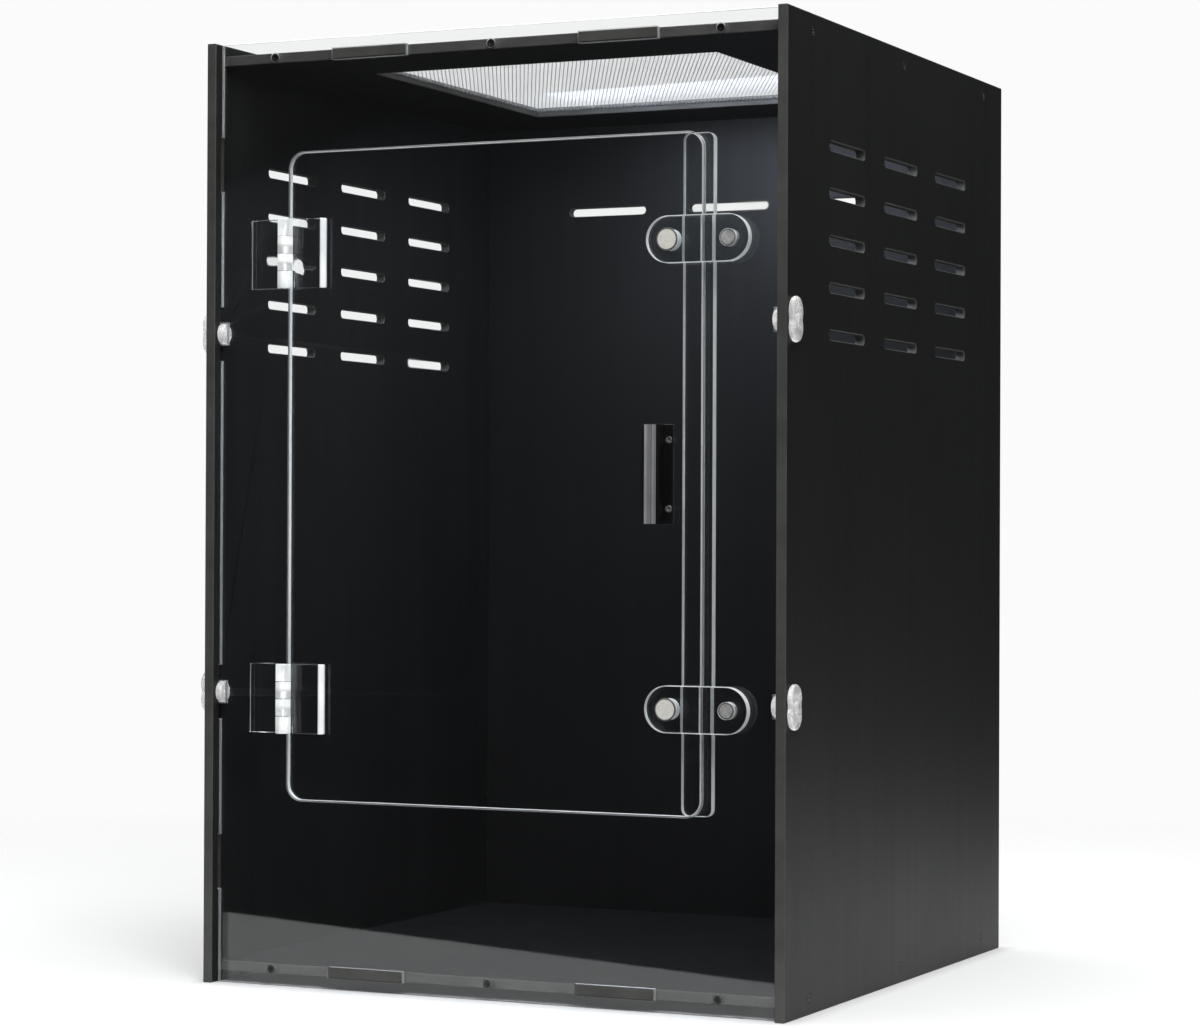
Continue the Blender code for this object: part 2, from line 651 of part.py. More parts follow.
def make_hinge_leaf(name, level, sign, other_rows, parent):
    """One clear hinge leaf: an extruded section, cut back where the other leaf's knuckles turn."""
    middle = DOOR_MIDDLE + LEVELS[level] * PAIR_OFFSET
    top = middle + HINGE_HEIGHT / 2
    bottom = middle - HINGE_HEIGHT / 2
    centre = Vector((HINGE_AXIS.x, HINGE_AXIS.y, middle))
    strip = bmesh.new()
    add_prism(strip, leaf_section(sign), "z", bottom, top)
    leaf = add_object(name + "_" + level, strip, acrylic(name + "_" + level), centre, parent, smooth=True)

    clear = BARREL_RADIUS + KNUCKLE_GAP
    pitch = HINGE_HEIGHT / KNUCKLES
    gaps = bmesh.new()
    for row in other_rows:
        low = top - (row + 1) * pitch - (KNUCKLE_GAP / 2 if row < KNUCKLES - 1 else pitch)
        high = top - row * pitch + (KNUCKLE_GAP / 2 if row > 0 else pitch)
        add_box(gaps, (centre.x - clear, centre.y - clear, low), (centre.x + clear, centre.y + clear, high))
    cut(leaf, gaps)

    bore = bmesh.new()
    start = Vector((centre.x, centre.y, bottom - pitch))
    add_rod(bore, PIN_RADIUS + FIT, start, Z_AXIS, HINGE_HEIGHT + 2 * pitch, TURNED_SIDES)
    cut(leaf, bore)


def make_hinge(level, door_axis):
    """The two leaves of one hinge and the pin that runs through their knuckles."""
    make_hinge_leaf("hinge_panel_leaf", level, -1, (0, 2), None)
    make_hinge_leaf("hinge_door_leaf", level, 1, (1, 3), door_axis)
    middle = DOOR_MIDDLE + LEVELS[level] * PAIR_OFFSET
    start = Vector((HINGE_AXIS.x, HINGE_AXIS.y, middle - HINGE_HEIGHT / 2))
    pin = bmesh.new()
    add_rod(pin, PIN_RADIUS, start, Z_AXIS, HINGE_HEIGHT, TURNED_SIDES)
    add_object("hinge_pin_" + level, pin, steel("hinge_pin_" + level), start, None, smooth=True)


def make_latch(level, door_axis):
    """A clear plate on a post in the door, with a magnet that meets a keeper in the front sheet."""
    z = DOOR_MIDDLE + LEVELS[level] * PAIR_OFFSET
    post_point = Vector((POST_X, FITTING_BACK, z))
    magnet_point = Vector((MAGNET_X, FITTING_BACK, z))
    turn = pivot("latch_axis_" + level, post_point, door_axis)

    outline = rounded_rectangle(LATCH_SPAN + 2 * LATCH_RADIUS, 2 * LATCH_RADIUS, LATCH_RADIUS,
                                ((POST_X + MAGNET_X) / 2, z), LATCH_END_STEPS)
    sheet = bmesh.new()
    add_prism(sheet, outline, "y", LATCH_FRONT, FITTING_BACK)
    plate = add_object("latch_plate_" + level, sheet, acrylic("latch_" + level), post_point, turn)
    holes = bmesh.new()
    add_rod(holes, POST_RADIUS + FIT, post_point - 2 * SHEET * Y_AXIS, Y_AXIS, 3 * SHEET, DISC_SIDES)
    pocket = magnet_point - (MAGNET_HEIGHT + FIT) * Y_AXIS
    add_rod(holes, MAGNET_RADIUS + FIT, pocket, Y_AXIS, SHEET, DISC_SIDES)
    cut(plate, holes)

    disc = bmesh.new()
    add_rod(disc, MAGNET_RADIUS, magnet_point - MAGNET_HEIGHT * Y_AXIS, Y_AXIS, MAGNET_HEIGHT, DISC_SIDES)
    add_object("latch_magnet_" + level, disc, steel("magnet_" + level), post_point, turn, smooth=True)

    cap_front = Vector((POST_X, LATCH_FRONT - FIT - POST_CAP_HEIGHT, z))
    profile = [
        (0, POST_CAP_RADIUS),
        (POST_CAP_HEIGHT, POST_CAP_RADIUS),
        (POST_CAP_HEIGHT, POST_RADIUS),
        (SHEET_BACK - cap_front.y, POST_RADIUS),
    ]
    post = bmesh.new()
    add_turned(post, profile, cap_front, Y_AXIS, DISC_SIDES)
    add_object("latch_post_" + level, post, steel("post_" + level), post_point, door_axis, smooth=True)

    keeper_point = Vector((MAGNET_X, SHEET_FRONT, z))
    keeper = bmesh.new()
    add_rod(keeper, MAGNET_RADIUS, keeper_point, Y_AXIS, SHEET, DISC_SIDES)
    add_object("latch_keeper_" + level, keeper, steel("keeper_" + level), keeper_point, None, smooth=True)


def two_lobed_outline(z):
    """The thumbscrew's head seen along its axis: two circles that overlap."""
    reach = math.pi - math.acos(LOBE_SPREAD / LOBE_RADIUS)
    points = []
    for sign in (1, -1):
        for step in range(LOBE_STEPS + 1):
            angle = sign * math.pi / 2 + (2 * step / LOBE_STEPS - 1) * reach
            points.append((SHEET_MIDDLE + LOBE_RADIUS * math.cos(angle),
                           z + sign * LOBE_SPREAD + LOBE_RADIUS * math.sin(angle)))
    return without_doubles(points)


def make_thumbscrew(side, level):
    """A clear two-lobed thumbscrew through the side board, and its nut in the front sheet's notch."""
    sign = SIDES[side]
    outward = sign * X_AXIS
    z = MID_HEIGHT + LEVELS[level] * SCREW_TAB_OFFSET
    seat = Vector((sign * (CASE_WIDTH / 2 + FIT), SHEET_MIDDLE, z))
    place = side + "_" + level

    head = bmesh.new()
    add_prism(head, two_lobed_outline(z), "x", seat.x, seat.x + sign * HEAD_THICKNESS)
    rims = [e for e in head.edges if abs(e.verts[0].co.x - e.verts[1].co.x) < FIT]
    bmesh.ops.bevel(head, geom=rims, offset=HEAD_EDGE, segments=1, affect="EDGES")
    screw = add_object("thumbscrew_" + place, head, acrylic("thumbscrew_" + place), seat, None, smooth=True)

    grip = BOARD + NUT_HEIGHT + 2 * FIT
    profile = [
        (0, SHANK_RADIUS),
        (grip + HEAD_THICKNESS / 2, SHANK_RADIUS),
        (grip + HEAD_THICKNESS / 2, HUB_RADIUS),
        (grip + HEAD_THICKNESS + HUB_HEIGHT, HUB_RADIUS),
    ]
    shank = bmesh.new()
    add_turned(shank, profile, seat - grip * outward, outward, TURNED_SIDES)
    combine(screw, shank, "UNION")

    bore = SHANK_RADIUS + FIT
    profile = [
        (0, bore),
        (0, NUT_RADIUS),
        (NUT_HEIGHT - NUT_EDGE, NUT_RADIUS),
        (NUT_HEIGHT - NUT_EDGE / 3, NUT_RADIUS - NUT_EDGE / 3),
        (NUT_HEIGHT, NUT_RADIUS - NUT_EDGE),
        (NUT_HEIGHT, bore),
    ]
    nut_seat = Vector((sign * BETWEEN_X, SHEET_MIDDLE, z))
    nut = bmesh.new()
    add_turned(nut, profile, nut_seat, -outward, TURNED_SIDES, bored=True)
    add_object("thumb_nut_" + place, nut, acrylic("thumb_nut_" + place), nut_seat, None, smooth=True)


def screw_mesh(name, length, head):
    """A countersunk screw with its head at the origin, pointing along +Z."""
    bm = bmesh.new()
    add_screw(bm, ORIGIN, Z_AXIS, length=length, head=head)
    bmesh.ops.recalc_face_normals(bm, faces=bm.faces[:])
    return finished_mesh(name, bm, black_metal(name), True)


def put_screw(name, mesh, point, inward, parent=None):
    """One screw, which shares its mesh with the others of its kind."""
    screw = put(bpy.data.objects.new(name, mesh), point, parent)
    screw.rotation_euler = Z_AXIS.rotation_difference(inward).to_euler()


def make_case_screws():
    """The countersunk screws that hold the front, the back and the side boards to the roof and floor."""
    mesh = screw_mesh("case_screw", SCREW_LENGTH, SCREW_HEAD_RADIUS)
    for face in ("front", "back", "left", "right"):
        for name, (point, inward) in screw_places(face).items():
            put_screw(name, mesh, point, inward)


def build():
    """Makes every piece of the terrarium."""
    clear_scene()
    for side in SIDES:
        make_side_panel(side)
    make_deck("bottom_panel", FLOOR_BOTTOM)
    make_roof()
    make_back_panel()
    make_front_panel()
    make_stop_strip()
    make_case_screws()
    door_axis = pivot("door_axis", HINGE_AXIS)
    make_door_panel(door_axis)
    make_handle(door_axis)
    for level in LEVELS:
        make_hinge(level, door_axis)
        make_latch(level, door_axis)
        for side in SIDES:
            make_thumbscrew(side, level)


build()
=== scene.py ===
"""The finished look of a front-opening reptile terrarium: black PVC boards, clear acrylic and bright metal.

Every visible piece is a surface worked out by formula in the frame's own metres, +Z up, front to -Y,
and stands for the CAD node of the same place. Sizes come from the frame's boxes wherever they can.
"""

import json
import math

import bmesh
import bpy
import numpy as np
from mathutils import Matrix, Vector
from mathutils.geometry import tessellate_polygon


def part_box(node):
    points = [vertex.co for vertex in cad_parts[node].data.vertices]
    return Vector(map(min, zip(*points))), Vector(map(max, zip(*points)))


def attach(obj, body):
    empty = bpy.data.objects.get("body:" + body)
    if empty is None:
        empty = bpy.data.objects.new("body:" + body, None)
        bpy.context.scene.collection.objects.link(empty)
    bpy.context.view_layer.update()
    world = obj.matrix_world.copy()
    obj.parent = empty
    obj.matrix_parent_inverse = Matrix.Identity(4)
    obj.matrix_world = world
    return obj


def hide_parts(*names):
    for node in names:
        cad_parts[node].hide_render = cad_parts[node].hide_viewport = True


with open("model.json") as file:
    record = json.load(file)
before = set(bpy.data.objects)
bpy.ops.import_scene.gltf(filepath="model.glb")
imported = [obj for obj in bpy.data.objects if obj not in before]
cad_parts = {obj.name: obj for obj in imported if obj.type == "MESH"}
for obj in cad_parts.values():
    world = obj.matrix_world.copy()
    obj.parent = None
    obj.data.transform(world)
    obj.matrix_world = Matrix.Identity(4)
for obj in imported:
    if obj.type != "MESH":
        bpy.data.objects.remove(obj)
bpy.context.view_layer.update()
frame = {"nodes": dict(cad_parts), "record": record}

MM = 0.001

# Board and sheet sizes
BOARD_BREAK = 0.45 * MM        # chamfer along a milled board's edges
SHEET_BREAK = 0.3 * MM         # chamfer along an acrylic sheet's edges
FIT = 0.3 * MM                 # play between neighbouring pieces
SIDE_TAB_HEIGHT = 35.0 * MM
OUTER_TAB_INSET = 76.7 * MM    # from the case's top or bottom to a plain side tab's middle
SCREW_TAB_OFFSET = 114.6 * MM  # side tabs that take a thumbscrew, above and below mid-height
DECK_TAB_WIDTH = 52.0 * MM
DECK_TAB_INSET = 114.0 * MM
SLOT_LENGTH = 61.0 * MM
SLOT_HEIGHT = 6.0 * MM
SLOT_PITCH_ALONG = 96.3 * MM
SLOT_PITCH_UP = 28.8 * MM
SLOT_ROWS = 5
TOP_SLOT_DROP = 76.0 * MM
SLOT_FORWARD = 4.8 * MM
REBATE_WIDTH = 8.0 * MM
REBATE_DEPTH = 3.2 * MM

# Mesh sizes
DIAMOND_WIDTH = 2.89 * MM      # along X; a diamond is twice as long from front to back
WIRE_HALF_WIDTH = 0.23 * MM
WIRE_HALF_HEIGHT = 0.07 * MM
WIRE_SIDES = 6

# Door sizes
DOOR_CORNER = 10.0 * MM
DOOR_GAP = 0.6 * MM
STRIP_CORNER = 4.5 * MM

# Hinge sizes
LEAF_THICKNESS = 3.6 * MM
LEAF_BEVEL = 2.8 * MM
LEAF_ARRIS = 0.22 * MM         # rounding along each corner of the bevel
LEAF_ROUND = 0.35 * MM
BARREL_RADIUS = 4.8 * MM
KNUCKLE_GAP = 0.5 * MM
KNUCKLES = 4

# Latch sizes
POST_RADIUS = 6.2 * MM
MAGNET_RADIUS = 5.0 * MM
MAGNET_HEIGHT = 3.0 * MM
STUD_CAP = 0.8 * MM
STUD_RINGS = (0.3 * MM, 5, 0.03 * MM)  # rounding of the rim, number of grooves, their depth
MAGNET_RINGS = (0.4 * MM, 3, 0.04 * MM)
KEEPER_RINGS = (0.3 * MM, 4, 0.03 * MM)
DISC_EYE = 0.04                # share of a disc's radius that is flat in its middle
DARK_RIM = 0.88                # share of a disc's radius from which it is darker, as painted shade

# Handle sizes
HANDLE_WALL = 2.0 * MM
HANDLE_FLANGE = 6.0 * MM
HANDLE_CROWN = 4.0 * MM
HANDLE_SHOULDER = 1.2 * MM
FLUTES = ((9.0 * MM, 1.45 * MM), (13.0 * MM, 2.2 * MM))  # middle and half width, from the edge
FLUTE_DEPTH = 0.9 * MM
PULL_BREAK = 0.25 * MM

# Thumbscrew sizes
SHANK_RADIUS = 2.5 * MM
LOBE_RADIUS = 8.5 * MM
LOBE_SPREAD = 5.2 * MM
WAIST_BLEND = 0.2              # share of a turn over which the two lobes run into each other
HEAD_THICKNESS = 3.2 * MM
HEAD_ROUND = 1.3 * MM
HUB_RADIUS = 3.6 * MM
NUT_RADIUS = 6.8 * MM
NUT_HEIGHT = 4.0 * MM
NUT_ROUND = 1.2 * MM

# Countersunk screw sizes
SCREW_RADIUS = 1.4 * MM
THREAD_PITCH = 1.0 * MM
THREAD_DEPTH = 0.28 * MM
SCREW_HEAD_HEIGHT = 1.6 * MM
HEAD_LIP = 0.4 * MM            # depth at which the head's cone begins
HEAD_CHAMFER = 0.06            # share of the head's radius
HEAD_EYE = 0.03                # share of the head's radius where its face begins
TIP_SHARE = 0.2                # share of the shank's radius at its tip
CROSS_DEPTH = 0.8 * MM
CROSS_REACH = 0.62             # share of the head's radius
CROSS_HALF_WIDTH = 0.17        # share of the head's radius
CROSS_WALL = 0.3               # share of an arm's half width over which its wall rises
CROSS_END = 0.25               # share of the reach over which an arm's end rises
CROSS_DISH = 0.45              # share by which an arm gets shallower on the way to its end
SCREW_SPIN = 2.4               # turn of each screw from the one before it, in radians
SCREW_WAYS = {                 # the way that each kind of screw goes in
    "handle": (0, 1, 0), "screw_front": (0, 1, 0), "screw_back": (0, -1, 0),
    "screw_left": (1, 0, 0), "screw_right": (-1, 0, 0),
}

# Finish and studio values
NOISE_SPAN = (0.3, 0.7)        # range that holds most of a cloudy noise
SHADE_TINT = (0.66, 0.67, 0.67)  # light that a clear piece lets past it
BLACK = (0.0, 0.0, 0.0)
WHITE = (1.0, 1.0, 1.0)
COOL = (0.76, 0.84, 1.0)
FLOOR_CORNERS = ((-1.6, -0.948), (0.13, -0.338), (1.6, -0.6), (3.0, 3.0), (-3.0, 3.0))
FLOOR_FADE = (0.7, 1.3)        # distances from the case's middle between which the floor fades
SKY_HEIGHTS = (0.08, 0.9)      # upward part of a direction, between which they brighten
SKY_STRENGTHS = (0.018, 0.6)
SOFT_BOXES = {                 # place, target, width and height, watts, colour
    "overhead_box": ((0.1, 0.0, 2.0), (0, 0, 0.3), (2.2, 2.2), 46, WHITE),
    "left_box": ((-1.7, -0.9, 0.7), (0, 0, 0.3), (0.5, 1.6), 3, WHITE),
    "key_box": ((0.9, -1.3, 1.6), (0, -0.2, 0.3), (0.6, 0.6), 19, WHITE),
    "inner_box": ((0.02, -0.02, 0.575), (0.03, 0.07, 0.3), (0.2, 0.2), 1.2, COOL),
}
CAMERA_PLACE = (0.92055, -1.99136, 0.28540)
CAMERA_TURN = (25.14, -0.403, 0.232)  # degrees to the right of the front, above level, and rolled
CAMERA_LENS = 98.46            # focal length in mm
CAMERA_WIDTH = 36.0            # width of the picture in the camera, in mm
CAMERA_CLIP = (0.05, 50.0)

# Facet counts
CORNER_STEPS = 12
DOOR_STEPS = 16
LATCH_STEPS = 28
BARREL_STEPS = 56
FLUTE_STEPS = 13
CROWN_STEPS = 17
LOBE_STEPS = 144
EDGE_STEPS = 5
GROOVE_STEPS = 4
FACE_ROWS = 15
DISC_SIDES = 64
PIN_SIDES = 40
NUT_SIDES = 48
SCREW_SIDES = 48
WIDE_HOLE_SIDES = 32
SCREW_HOLE_SIDES = 24
SOFT_ANGLE = math.radians(32)
KNOB_SOFT_ANGLE = math.radians(50)
WIRE_SOFT_ANGLE = math.radians(65)

# Where the pieces of the frame are
SIDE_LOW, SIDE_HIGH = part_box("side_panel_right")
SHEET_LOW, SHEET_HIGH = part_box("front_panel")
BACK_LOW, BACK_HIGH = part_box("back_panel")
ROOF_LOW, ROOF_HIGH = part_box("top_panel")
FLOOR_LOW, FLOOR_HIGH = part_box("bottom_panel")
RING_LOW, RING_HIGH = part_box("mesh_frame")
DOOR_LOW, DOOR_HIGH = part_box("door_panel")
SCREW_LOW, SCREW_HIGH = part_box("screw_front_top_left")
SCREW_HEAD_RADIUS = (SCREW_HIGH.x - SCREW_LOW.x) / 2
HALF_WIDTH = SIDE_HIGH.x
INNER_X = SIDE_LOW.x
BETWEEN_X = ROOF_HIGH.x
TAB_X = SHEET_HIGH.x
HEIGHT = SIDE_HIGH.z
MID_HEIGHT = HEIGHT / 2
MID_DEPTH = (SIDE_LOW.y + SIDE_HIGH.y) / 2
SHEET = SHEET_HIGH.y - SHEET_LOW.y
BOARD = HALF_WIDTH - INNER_X
DECK_TAB_OFFSET = HALF_WIDTH - DECK_TAB_INSET
VENT_LOW = np.array(RING_LOW[:2]) + REBATE_WIDTH - FIT
VENT_HIGH = np.array(RING_HIGH[:2]) - REBATE_WIDTH + FIT
BODY_OF = {node: body for body, nodes in frame["record"]["behaviour"]["bodies"].items() for node in nodes}
LEVELS = ("upper", "lower")
BOLT_HEIGHTS = (MID_HEIGHT - SCREW_TAB_OFFSET, MID_HEIGHT + SCREW_TAB_OFFSET)
TAB_HEIGHTS = (OUTER_TAB_INSET, *BOLT_HEIGHTS, HEIGHT - OUTER_TAB_INSET)
SIDES = {"left": -1, "right": 1}


# Node groups and materials


def new_group(name, inputs, outputs):
    """An empty shader group whose named inputs and outputs are all plain numbers."""
    group = bpy.data.node_groups.new(name, "ShaderNodeTree")
    for label, value in inputs.items():
        socket = group.interface.new_socket(label, in_out="INPUT", socket_type="NodeSocketFloat")
        socket.default_value = value
    for label in outputs:
        group.interface.new_socket(label, in_out="OUTPUT", socket_type="NodeSocketFloat")
    return group, group.nodes.new("NodeGroupInput").outputs, group.nodes.new("NodeGroupOutput")


def add_node(tree, kind, links=None, **settings):
    """One shader node; settings set its properties, links give its input sockets a value or a source."""
    node = tree.nodes.new("ShaderNode" + kind)
    for key, value in settings.items():
        setattr(node, key, value)
    for key, value in (links or {}).items():
        if isinstance(value, bpy.types.NodeSocket):
            tree.links.new(value, node.inputs[key])
        else:
            node.inputs[key].default_value = value
    return node


def feed(tree, node, **sources):
    """Links each source to the node's input of that name."""
    for label, source in sources.items():
        tree.links.new(source, node.inputs[label.replace("_", " ")])


def own_place(tree, scale=None, turn=(0.0, 0.0, 0.0)):
    """A piece's own coordinates or, with a scale, the same stretched along each axis and turned."""
    place = add_node(tree, "TexCoord").outputs["Object"]
    if scale is None:
        return place
    return add_node(tree, "Mapping", {"Vector": place, "Rotation": turn, "Scale": scale}).outputs["Vector"]


def noise(tree, place, scale, detail, roughness=0.5, distortion=0.0):
    """Cloudy noise, a value that mostly lies near one half."""
    links = {"Vector": place, "Scale": scale, "Detail": detail, "Roughness": roughness,
             "Distortion": distortion}
    return add_node(tree, "TexNoise", links).outputs["Fac"]


def remap(tree, value, low, high, to_low, to_high):
    """A value taken from one range to another and held inside it."""
    links = {"Value": value, "From Min": low, "From Max": high, "To Min": to_low, "To Max": to_high}
    return add_node(tree, "MapRange", links).outputs["Result"]


def evened(tree, value, to_low=0.0, to_high=1.0):
    """Noise taken from the range that holds most of it to another."""
    return remap(tree, value, *NOISE_SPAN, to_low, to_high)


def math_node(tree, operation, first, second=0.0):
    """The result of one operation on two numbers."""
    return add_node(tree, "Math", {0: first, 1: second}, operation=operation).outputs["Value"]


def blend(tree, value, dark, light):
    """A colour that runs from one to another with a value."""
    links = {"Factor": value, 6: (*dark, 1.0), 7: (*light, 1.0)}
    return add_node(tree, "Mix", links, data_type="RGBA").outputs[2]


def relief(tree, height, strength, distance):
    """The normal of a surface with a fine relief."""
    links = {"Height": height, "Strength": strength, "Distance": distance}
    return add_node(tree, "Bump", links).outputs["Normal"]


def see_through(tree, shader, share, colour=WHITE):
    """Mixes a plain transparent shader into a material by a share."""
    clear = add_node(tree, "BsdfTransparent", {"Color": (*colour, 1.0)})
    mixed = add_node(tree, "MixShader", {0: share, 1: shader.outputs["BSDF"], 2: clear.outputs["BSDF"]})
    feed(tree, tree.nodes["Material Output"], Surface=mixed.outputs["Shader"])


def make_grain_group():
    """Rolled-sheet grain: soft cloudy tone, faint upright streaks, and fine pits for the bump."""
    group, given, made = new_group(
        "rolled_grain", {"Cloud size": 14.0, "Pit size": 900.0, "Streaks": 0.5}, ("Tone", "Pits"))
    cloud = noise(group, own_place(group), given["Cloud size"], 4.0, 0.6)
    streak = noise(group, own_place(group, (90.0, 90.0, 2.5)), 1.0, 5.0, 0.65)
    mixed = add_node(group, "Mix", {0: given["Streaks"], 2: cloud, 3: streak}, data_type="FLOAT")
    feed(group, made, Tone=mixed.outputs[0], Pits=noise(group, own_place(group), given["Pit size"], 2.0))
    return group


def make_scuff_group():
    """Hairline scuffs and handling marks: a thresholded noise drawn out along one direction, broken up."""
    group, given, made = new_group("hairline_scuffs", {"Spread": 0.5, "Fineness": 1.0}, ("Mask",))
    marks = []
    for scale, turn in (((260.0, 260.0, 9.0), 0.35), ((30.0, 30.0, 420.0), 0.9)):
        lines = noise(group, own_place(group, scale, (turn, turn / 2, 0.0)), given["Fineness"], 3.0)
        marks.append(remap(group, lines, 0.66, 0.74, 0.0, 1.0))
    patches = math_node(group, "ADD", noise(group, own_place(group), 9.0, 2.0), given["Spread"])
    worn = remap(group, patches, 0.95, 1.25, 0.0, 1.0)
    feed(group, made, Mask=math_node(group, "MULTIPLY", math_node(group, "MAXIMUM", *marks), worn))
    return group


def make_cutter_group():
    """Cutter marks on a milled or sawn edge: fine chatter bands across it and a slow change of tone."""
    group, given, made = new_group("cutter_marks", {"Pitch": 1.0}, ("Bands", "Tone"))
    place = add_node(group, "VectorMath", {0: own_place(group), "Scale": given["Pitch"]},
                     operation="SCALE").outputs["Vector"]
    feed(group, made, Bands=noise(group, place, 1300.0, 3.0, 0.7), Tone=noise(group, place, 38.0, 4.0, 0.6))
    return group


def make_smudge_group():
    """Faint wipe marks and haze on a polished clear surface, as a value from 0 to 1."""
    group, given, made = new_group("wipe_marks", {"Amount": 1.0}, ("Haze",))
    blotch = noise(group, own_place(group), 16.0, 5.0, 0.6, 0.6)
    wiped = noise(group, own_place(group, (14.0, 14.0, 70.0)), 1.0, 4.0, 0.7)
    joined = math_node(group, "MULTIPLY", remap(group, blotch, 0.42, 0.72, 0.0, 1.0),
                       remap(group, wiped, 0.35, 0.7, 0.2, 1.0))
    feed(group, made, Haze=math_node(group, "MULTIPLY", joined, given["Amount"]))
    return group


def make_metal_group():
    """Grain of bright metal, fine across a face and drawn out along X, and a slight stain."""
    group, given, made = new_group("metal_grain", {"Fineness": 1.0, "Stain size": 1.0}, ("Grain", "Stain"))
    grain = noise(group, own_place(group, (60.0, 2200.0, 2200.0)), given["Fineness"], 3.0, 0.6)
    spread = math_node(group, "MULTIPLY", given["Stain size"], 420.0)
    feed(group, made, Grain=grain, Stain=noise(group, own_place(group), spread, 4.0, 0.65))
    return group


GRAIN = make_grain_group()
SCUFFS = make_scuff_group()
CUTTER = make_cutter_group()
SMUDGES = make_smudge_group()
METAL = make_metal_group()


def new_material(name, **constants):
    """A material and its main shader, whose plain values are set on the shader's own sockets."""
    material = bpy.data.materials.new(name)
    material.use_nodes = True
    tree = material.node_tree
    shader = tree.nodes["Principled BSDF"]
    for label, value in constants.items():
        shader.inputs[label.replace("_", " ")].default_value = value
    return material, tree, shader


def place_group(tree, group, **values):
    """The outputs of a shared group that is set in a material with its own values."""
    node = tree.nodes.new("ShaderNodeGroup")
    node.node_tree = group
    for label, value in values.items():
        node.inputs[label.replace("_", " ")].default_value = value
    return node.outputs


def board_face():
    """Rolled face of black rigid PVC: satin, with faint streaks and a few hairlines."""
    material, tree, shader = new_material("board_face", Specular_IOR_Level=0.19)
    grain = place_group(tree, GRAIN, Cloud_size=9.0, Pit_size=950.0, Streaks=0.62)
    scuff = place_group(tree, SCUFFS, Spread=0.42, Fineness=1.0)
    lit = math_node(tree, "ADD", evened(tree, grain["Tone"]), scuff["Mask"])
    feed(tree, shader, Base_Color=blend(tree, lit, (0.0082, 0.0084, 0.0086), (0.0150, 0.0152, 0.0152)),
         Roughness=remap(tree, lit, 0.0, 1.4, 0.47, 0.38),
         Normal=relief(tree, grain["Pits"], 0.25, 0.00004))
    return material


def board_cut():
    """Milled edge of the same board: greyer and duller, with cutter marks."""
    material, tree, shader = new_material("board_cut", Specular_IOR_Level=0.35)
    marks = place_group(tree, CUTTER, Pitch=1.0)
    tone = evened(tree, marks["Tone"])
    feed(tree, shader, Base_Color=blend(tree, tone, (0.048, 0.048, 0.045), (0.078, 0.078, 0.073)),
         Roughness=evened(tree, marks["Bands"], 0.5, 0.66),
         Normal=relief(tree, marks["Bands"], 0.35, 0.00006))
    return material


def acrylic_clear(name="acrylic_clear", haze=(0.0, 0.07), tint=(0.975, 0.985, 0.985)):
    """Polished cast acrylic with faint wipe marks. Lamplight passes it, a little weakened."""
    material, tree, shader = new_material(name, Transmission_Weight=1.0, IOR=1.49)
    marks = place_group(tree, SMUDGES, Amount=1.0)
    wiped_tint = tuple(value * 0.99 for value in tint)
    feed(tree, shader, Base_Color=blend(tree, marks["Haze"], tint, wiped_tint),
         Roughness=remap(tree, marks["Haze"], 0.0, 1.0, *haze))
    see_through(tree, shader, add_node(tree, "LightPath").outputs["Is Shadow Ray"], SHADE_TINT)
    return material


def acrylic_cut(name, glow_strength, milky, shade=1.0):
    """Cut edge of an acrylic sheet: frosted, with a painted glow, emission that stands in for the light the
    sheet carries to it.
    """
    # glow_strength sets the painted glow; a shade below 1 darkens the edge's colours as painted shade.
    material, tree, shader = new_material(name, Transmission_Weight=1.0 - milky, IOR=1.49,
                                          Emission_Strength=glow_strength)
    marks = place_group(tree, CUTTER, Pitch=0.9)
    tone = evened(tree, marks["Tone"])
    dark = tuple(value * shade for value in (0.78, 0.82, 0.84))
    light = tuple(value * shade for value in (0.96, 0.98, 0.97))
    feed(tree, shader, Base_Color=blend(tree, tone, dark, light),
         Emission_Color=blend(tree, tone, (0.55, 0.60, 0.62), (1.0, 1.0, 0.98)),
         Roughness=evened(tree, marks["Bands"], 0.3, 0.55),
         Normal=relief(tree, marks["Bands"], 0.4, 0.00008))
    return material


def acrylic_moulded_painted_glow():
    """Clear moulded acrylic of the thumbscrews: cloudy inside, and whitened by a painted glow, emission that
    stands in for the light it gathers.
    """
    material, tree, shader = new_material("acrylic_moulded_painted_glow", Transmission_Weight=0.7, IOR=1.49,
                                          Emission_Strength=0.16)
    marks = place_group(tree, METAL, Fineness=0.4, Stain_size=0.3)
    cloud = remap(tree, marks["Stain"], 0.4, 0.6, 0.0, 1.0)
    feed(tree, shader, Base_Color=blend(tree, cloud, (0.72, 0.73, 0.73), (0.97, 0.97, 0.96)),
         Emission_Color=blend(tree, cloud, (0.42, 0.42, 0.43), (1.0, 1.0, 0.98)),
         Roughness=remap(tree, cloud, 0.0, 1.0, 0.12, 0.3),
         Normal=relief(tree, marks["Stain"], 0.12, 0.0006))
    return material


def bright_metal(name, dark, light, roughness, metallic=1.0, stain_size=1.0):
    """Turned or ground bright metal with its grain and a slight stain."""
    material, tree, shader = new_material(name, Metallic=metallic)
    marks = place_group(tree, METAL, Stain_size=stain_size)
    feed(tree, shader, Base_Color=blend(tree, evened(tree, marks["Stain"]), dark, light),
         Roughness=evened(tree, marks["Grain"], *roughness),
         Normal=relief(tree, marks["Grain"], 0.3, 0.00003))
    return material


